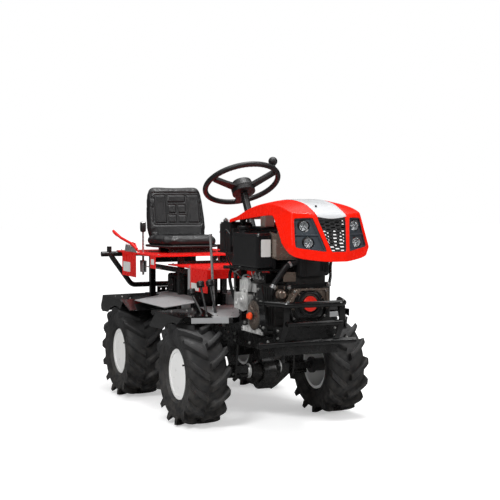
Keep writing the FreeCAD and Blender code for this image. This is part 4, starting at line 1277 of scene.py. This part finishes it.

# %% [markdown]
# Round the castings stand the orange filler cap, the injection pump with its steel pipes, a plate
# beside the fan's shroud with a painted bronze highlight, and the thin ribs of the cylinder and its
# shroud.

# %% Engine fittings
def make_engine_fittings():
    cap = Shapes()
    cap.turned(at(707, -180, 535), at(707, -181, 535),
               [(0, 0.012), (0.004, 0.0165), (0.012, 0.0165), (0.015, 0.014), (0.016, 0.006)], 14)
    cap.box(at(703, -204, 525), at(711, -194, 545))
    cap.piece("filler_cap", CAP_ORANGE, "front_half", 30)
    pump = Shapes()
    for x in (650, 690, 730):
        pump.turned(at(x, -124, 711), at(x, -125, 711),
                    [(0, 0.011), (0.014, 0.011), (0.015, 0.009), (0.022, 0.009), (0.024, 0.006)], 6)
    for x, y in ((650, -92), (690, -90), (730, -92)):
        pump.pipe([(x, -140, 711), (x, -150, 722), (x, -148, 738), (x + 4, -120, 746),
                   (x + 8, y, 760), (x + 10, y + 4, 800), (x + 14, y + 16, 850)], 0.0032, 8)
    pump.pipe([(618, -120, 700), (590, -150, 716), (560, -158, 700), (548, -150, 660),
               (560, -140, 640)], 0.0045, 10)
    pump.turned(at(610, -118, 700), at(630, -118, 700),
                [(0, 0.012), (0.018, 0.012), (0.020, 0.009)], 6)
    pump.piece("injection_pipes", BARE_STEEL, "front_half", 40)
    # The plate's bronze is a painted highlight on the shroud's dark sheet metal.
    plate = Shapes()
    plate.plate("x", 869, ((-98, 700), (-36, 700), (-34, 742), (-80, 744), (-98, 728)), 0.002)
    plate.box(at(848, -138, 660), at(872, -128, 700))
    plate.piece("shroud_plate", BRONZE_PAINTED_HIGHLIGHT, "front_half")
    fins = Shapes()
    for z in range(712, 826, 14):
        fins.plate("z", z - 1, ((634, -80), (848, -80), (848, -60), (634, -60)), 0.0022)
    for x in range(612, 860, 26):
        fins.box(at(x, -143.5, 500), at(x + 4, -139, 670))
    for z in (475, 505, 535, 565, 595, 625):
        fins.box(at(871, -126, z), at(876, 126, z + 4))
    fins.piece("casting_ribs", CAST_BLACK, "front_half")


make_engine_fittings()

# %% [markdown]
# A strap holds the tank, and the battery has a carrying strap and two posts. The labels are
# thin plates with clipped corners that stand just proud of what carries them. They stay
# blank on purpose.

# %% Tank, battery and blank labels
LABEL_THICK, LABEL_CUT = 0.0007, 0.003


def label(name, middle, right, up, wide, high, body):
    # a thin plate with clipped corners, standing on a face
    middle, right, up = Vector(middle), Vector(right).normalized(), Vector(up).normalized()
    out = right.cross(up)
    outline = []
    for sx, sy in ((-1, -1), (1, -1), (1, 1), (-1, 1)):
        corner = middle + right * sx * wide / 2 + up * sy * high / 2
        along = [right * -sx * LABEL_CUT, up * -sy * LABEL_CUT]
        outline += [corner + step for step in (along[::-1] if sx * sy > 0 else along)]
    sticker = Shapes()
    sticker.slab(outline, out * LABEL_THICK)
    return sticker.piece(name, LABEL_PALE, body)


def make_tank_trim():
    strap = Shapes()
    strap.plate("x", 811, ((-122, 755), (-108, 755), (-108, 915), (-122, 915)), 0.003)
    strap.plate("z", 917.5, ((540, -122), (813, -122), (813, -108), (540, -108)), 0.003)
    strap.plate("z", 753, ((530, -204), (812, -204), (812, -196), (530, -196)), 0.004)
    strap.piece("tank_strap", BLACK_PLASTIC, "front_half")
    cap = Shapes()
    middle = at(560, -150, 932)
    cap.turned(middle, middle + UP,
               [(0, 0.0318), (0.010, 0.0322), (0.0138, 0.0305), (0.0146, 0.012)], 18)
    cap.piece("tank_cap", BLACK_PLASTIC, "front_half", 20)
    battery = Shapes()
    battery.box(at(268, -152, 905), at(402, -30, 912))
    battery.box(at(268, -152, 822), at(402, -30, 828))
    battery.plate("z", 958, ((325, -148), (345, -148), (345, -34), (325, -34)), 0.002)
    for x in (290, 380):
        battery.turned(at(x, -126, 957), at(x, -126, 958), [(0, 0.013), (0.006, 0.013),
                                                            (0.008, 0.010), (0.015, 0.009)], 12)
    battery.piece("battery_trim", BLACK_PLASTIC, "front_half")
    posts = Shapes()
    for x in (290, 380):
        posts.turned(at(x, -126, 968), at(x, -126, 969), [(0, 0.0065), (0.010, 0.0058)], 12)
        posts.box(at(x - 9, -137, 965), at(x + 9, -115, 970))
    posts.piece("battery_posts", ZINC, "front_half")


make_tank_trim()
label("label_tank", at(811.2, -157, 850), LEFT, UP, 0.048, 0.079, "front_half")
label("label_battery", at(400.2, -90, 870), LEFT, UP, 0.062, 0.046, "front_half")
label("label_console", at(69, -203.2, 622), AHEAD, UP, 0.105, 0.038, "rear_half")
label("label_seat_console", at(-728, -303.2, 683), AHEAD, UP, 0.125, 0.056,
      "rear_half")
label("label_small", at(-292, -303.2, 732), AHEAD, UP, 0.050, 0.030, "rear_half")

# %% [markdown]
# A tall bright lever stands in front of the front console. The gear lever has a bright rod
# and a moulded grip, its clevis hangs below the console and pulls a thin rod, and the
# parking brake has a toothed quadrant and a red grip. The pedals get ribbed pads.

# %% Levers and brackets
def make_levers():
    steel = Shapes()
    steel.rod(at(290, -190, 521), at(268, -200, 893), 0.0068, 16)
    steel.turned(at(290, -190, 520), at(289, -190.4, 537),
                 [(0, 0.014), (0.008, 0.014), (0.010, 0.010), (0.016, 0.010)], 16)
    steel.turned(at(268, -200, 888), at(267, -200.4, 905), [(0, 0.009), (0.010, 0.009),
                                                            (0.012, 0.006)], 16)
    steel.piece("lever_rod", BARE_STEEL, "front_half", 40)
    rear = Shapes()
    rear.rod(at(-625, -240, 640), at(-625, -240, 888), 0.0062, 16)
    rear.rod(at(-622, -240, 690), at(-335, -240, 694), 0.003, 10)
    rear.plate("x", -690, ((-296.5, 770), (-289.5, 770), (-289.5, 824), (-296.5, 824)), 0.002)
    teeth = [(-775, 770), (-560, 770), (-570, 786)]
    for k in range(12):
        x = -585 - 15 * k
        teeth += [(x, 800 + 1.4 * k), (x - 7, 792 + 1.4 * k)]
    rear.plate("y", -301, teeth, 0.003)
    rear.piece("lever_steel", BARE_STEEL, "rear_half", 40)
    bracket = Shapes()
    for y in (-250, -232):
        bracket.plate("y", y, ((-650, 658), (-600, 658), (-596, 722), (-654, 722)), 0.003)
    bracket.box(at(-654, -250, 719), at(-596, -229, 722))
    bracket.box(at(-650, -250, 656), at(-600, -229, 659))
    bracket.plate("y", -206, ((-26, 575), (6, 575), (6, 713), (-26, 713)), 0.004)
    bracket.plate("x", -26, ((-206, 575), (-170, 575), (-170, 713), (-206, 713)), 0.003)
    bracket.piece("lever_brackets", PLATE_GREY, "rear_half")
    grip = Shapes()
    middle = at(-625, -240, 883)
    grip.turned(middle, middle + UP,
                [(0, 0.008), (0.002, 0.0140), (0.010, 0.0168), (0.030, 0.0170), (0.051, 0.0166),
                 (0.058, 0.0130), (0.0602, 0.006)], 28)
    grip.piece("gear_grip", SOFT_BLACK, "rear_half", 50)
    brake = Shapes()
    brake.pipe([(-905, -300, 857), (-945, -300, 866), (-977, -300, 876)], 0.0095, 16)
    brake.piece("brake_grip", RED_PAINT, "rear_half", 50)


def make_pedal_trim():
    pads = Shapes()
    for x, y, z in ((292, -262, 640), (300, -215, 645), (240, -288, 600)):
        middle = at(x - 4, y, z + 10)
        ahead = Vector((-0.37, 0, 0.93))
        pads.turned(middle, middle + ahead, [(0, 0.0195), (0.010, 0.0200), (0.014, 0.0185),
                                             (0.016, 0.0150), (0.0162, 0.0050)], 28)
        for k in (-1, 0, 1):
            pads.rod(middle + ahead * 0.0155 + Vector((0.010 * k, -0.014, 0.004 * k)),
                     middle + ahead * 0.0155 + Vector((0.010 * k, 0.014, 0.004 * k)), 0.0018, 8)
    pads.piece("pedal_pads", SOFT_BLACK, "front_half", 40)


make_levers()
make_pedal_trim()

# %% [markdown]
# Pipes and rods fill the space between the tower and the console. They are short formed
# pipes, clamped at both ends, so they keep their shape and ride with the front half.

# %% Pipes by the tower
def make_tower_pipes():
    black = Shapes()
    black.pipe([(452, -108, 760), (430, -150, 742), (425, -165, 690), (440, -150, 600),
                (470, -130, 540)], 0.008, 12)
    black.pipe([(436, -60, 800), (410, -90, 770), (405, -120, 700), (420, -125, 620),
                (452, -118, 560)], 0.006, 12)
    black.pipe([(520, -205, 905), (468, -206, 925), (436, -196, 880), (432, -185, 800),
                (440, -160, 740)], 0.0035, 10)
    black.pipe([(430, 60, 820), (400, 90, 760), (404, 120, 660), (430, 130, 560)], 0.007, 12)
    black.piece("tower_pipes", SOFT_BLACK, "front_half", 50)
    steel = Shapes()
    steel.pipe([(560, -176, 742), (530, -190, 728), (500, -180, 735), (490, -150, 712),
                (510, -135, 690)], 0.004, 10)
    steel.rod(at(436, -140, 560), at(424, -140, 738), 0.005, 12)
    for z in (590, 640, 700):
        steel.turned(at(431, -140, z), at(430.3, -140, z + 10),
                     [(0, 0.009), (0.008, 0.009)], 6)
    steel.piece("tower_rods", ZINC, "front_half", 40)
    box_trim = Shapes()
    box_trim.box(at(410, -148, 842), at(436, -96, 930))
    for k in range(5):
        box_trim.box(at(406, -144 + 10 * k, 850), at(411, -139 + 10 * k, 922))
    box_trim.piece("relay_box", BLACK_PLASTIC, "front_half")


make_tower_pipes()

# %% [markdown]
# Bolts hold every plate. Each entry gives a place, the way its head looks and its size, and
# one Geometry Nodes tree sets all the heads of a list at once. Each axle also gets a turned
# flange on both sides of its middle.

# %% Bolts
AXLE = 438.5   # station of the front axle, and the rear one is as far behind the pivot


def x_bar():
    # station of the low bumper bar
    return (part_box("front_chassis")[1].x - PIVOT_X) * 1000 + 13


def axle_bolts(station):
    # four bolts above the axle casing and two below it
    spots = [(x, z) for x in (-40, 40) for z in (395, 425)] + [(-18, 225), (18, 225)]
    return [(at(station + x, -160, z), RIGHT, 0.0075) for x, z in spots]


def axle_nuts(station):
    return [(at(station, -79, 234.5), RIGHT, 0.014), (at(station, 97, 244.5), LEFT, 0.014)]


def make_bolts():
    front = [(at(x, y, 520.2), UP, 0.005) for x, y in ((250, -400), (250, -320), (505, -400),
                                                       (505, -320), (200, -270))]
    front += [(at(x, y, 517.2), UP, 0.005) for x, y in ((500, -262), (430, -150), (130, -130),
                                                        (210, -60), (540, -210))]
    front += axle_bolts(AXLE)
    front += [(at(x, -158, z), RIGHT, 0.007) for x, z in ((350, 452), (350, 400), (585, 490),
                                                          (640, 400), (640, 495))]
    front += [(at(909, -y, z), AHEAD, 0.006) for y, z in ((145, 485), (145, 450))]
    front += [(at(880, -138, 489), UP, 0.006)]
    front += [(at(998, -138, 619.5), UP, 0.0065), (at(x_bar(), -200, 439.5), UP, 0.0065)]
    front += [(at(453, -146, 448.5), UP, 0.0065), (at(620, -200, 753.5), UP, 0.005),
              (at(760, -190, 753.5), UP, 0.005)]
    strap = [(at(x, -204, z), RIGHT, 0.007) for x, z in ((833, 668), (886, 500))]
    set_bolts("bolts_front", both_sides(front) + strap, "front_half", ZINC)
    set_bolts("nuts_front", axle_nuts(AXLE), "front_half", ZINC)
    rear = [(at(x, -276, 768.2), UP, 0.005) for x in (-905, -590, -272)]
    rear += [(at(x, -180, 717.2), UP, 0.005) for x in (-305, -60, 205)]
    rear += axle_bolts(-AXLE)
    rear += [(at(x, -400, 530.2), UP, 0.005) for x in (-640, -520, -385)]
    rear += [(at(x, -205, 548.2), UP, 0.005) for x in (-440, -300, 60)]
    rear += [(at(x, -55, 664.2), UP, 0.0055) for x in (-545, -490, -435)]
    rear += [(at(-836 - 14.5, -120, z), -AHEAD, 0.007) for z in (400, 500)]
    set_bolts("bolts_rear", both_sides(rear), "rear_half", ZINC)
    cover = [(p, RIGHT, 0.004) for p in ring_of(at(-520, -112, 590), 0.034, 6)]
    set_bolts("nuts_rear", cover + axle_nuts(-AXLE), "rear_half", ZINC)
    for end, station, body in (("front", AXLE, "front_half"), ("rear", -AXLE, "rear_half")):
        flanges = Shapes()
        for y, z, way in ((-70, 234.5, -1), (88, 244.5, 1)):
            middle = at(station, y, z)
            flanges.turned(middle, middle + Vector((0, way, 0)),
                           [(0, 0.036), (0.005, 0.036), (0.006, 0.034), (0.006, 0.026),
                            (0.010, 0.024), (0.010, 0.010)], 32)
        flanges.piece("axle_flanges_" + end, CAST_SILVER, body, 40)


make_bolts()

# %% [markdown]
# Wheels get a valve each, a bead ring where the tyre meets the rim and a thin ring on the
# disc. The steering wheel gets finger bumps under its rim, three spoke plates, and a cup
# with a grey ring under its hub.

# %% Wheel and steering details
def make_wheel_details():
    for wheel in WHEELS:
        low, high, middle = reach(wheel + "_rim")
        side = 1 if middle.y > 0 else -1
        face = high.y if side > 0 else low.y
        out = Vector((0, side, 0))
        bead = Shapes()
        hub = Vector((middle.x, face - side * 0.0005, middle.z))
        bead.turned(hub, hub + out, [(-0.004, 0.1085), (0.0, 0.1100), (0.0006, 0.1170),
                                     (-0.001, 0.1205), (-0.004, 0.1205), (-0.004, 0.1085)], 64)
        bead.turned(hub - out * 0.022, hub, [(0, 0.094), (0.0035, 0.0925), (0.0035, 0.090),
                                             (0, 0.0885), (0, 0.094)], 64)
        bead.piece(wheel + "_bead", RIM_WHITE, wheel + "_wheel", 50)
        valve = Shapes()
        root = hub + Vector((0.070, -side * 0.022, 0.052))
        valve.turned(root, root + out, [(0, 0.0055), (0.006, 0.0050), (0.016, 0.0034),
                                        (0.018, 0.0040), (0.026, 0.0040), (0.027, 0.0025)], 12)
        valve.piece(wheel + "_valve", SOFT_BLACK, wheel + "_wheel", 50)


def make_steering_details():
    turn = JOINTS["steering_turn"]
    middle, axis = Vector(turn["pos_m"]), Vector(turn["axis"]).normalized()
    if axis.z < 0:
        axis = -axis
    ahead = Vector((axis.z, 0, -axis.x))
    across = LEFT
    ring = Shapes()
    ring.turned(middle - axis * 0.018, middle, [(0, 0.0505), (0.003, 0.0505), (0.0042, 0.0485),
                                                (0.0042, 0.0440), (0, 0.0440), (0, 0.0505)], 48)
    ring.piece("steering_ring", PLATE_GREY, "steering", 50)
    cup = Shapes()
    cup.turned(middle - axis * 0.030, middle, [(0, 0.0600), (0.004, 0.0600), (0.010, 0.0555),
                                               (0.013, 0.0530), (0.0128, 0.0440),
                                               (0.008, 0.0420), (0.008, 0.008)], 48)
    cup.piece("steering_cup", SOFT_BLACK, "steering", 50)
    spokes = Shapes()
    for degrees in (47, 167, 287):
        a = math.radians(degrees)
        way = ahead * math.cos(a) + across * math.sin(a)
        side = axis.cross(way)
        near, far = middle - axis * 0.023 + way * 0.050, middle - axis * 0.002 + way * 0.178
        spokes.slab([near - side * 0.022, far - side * 0.013, far + side * 0.013,
                     near + side * 0.022], -axis * 0.014)
    spokes.piece("steering_spokes", SOFT_BLACK, "steering", 30)
    bumps = Shapes()
    for k in range(56):
        a = 2 * math.pi * k / 56
        way = ahead * math.cos(a) + across * math.sin(a)
        low = middle + way * 0.184 - axis * 0.0115
        bumps.turned(low, low - axis, [(-0.004, 0.0045), (0.0006, 0.0040), (0.0016, 0.0020)], 10)
    bumps.piece("steering_bumps", SOFT_BLACK, "steering", 60)


make_wheel_details()
make_steering_details()
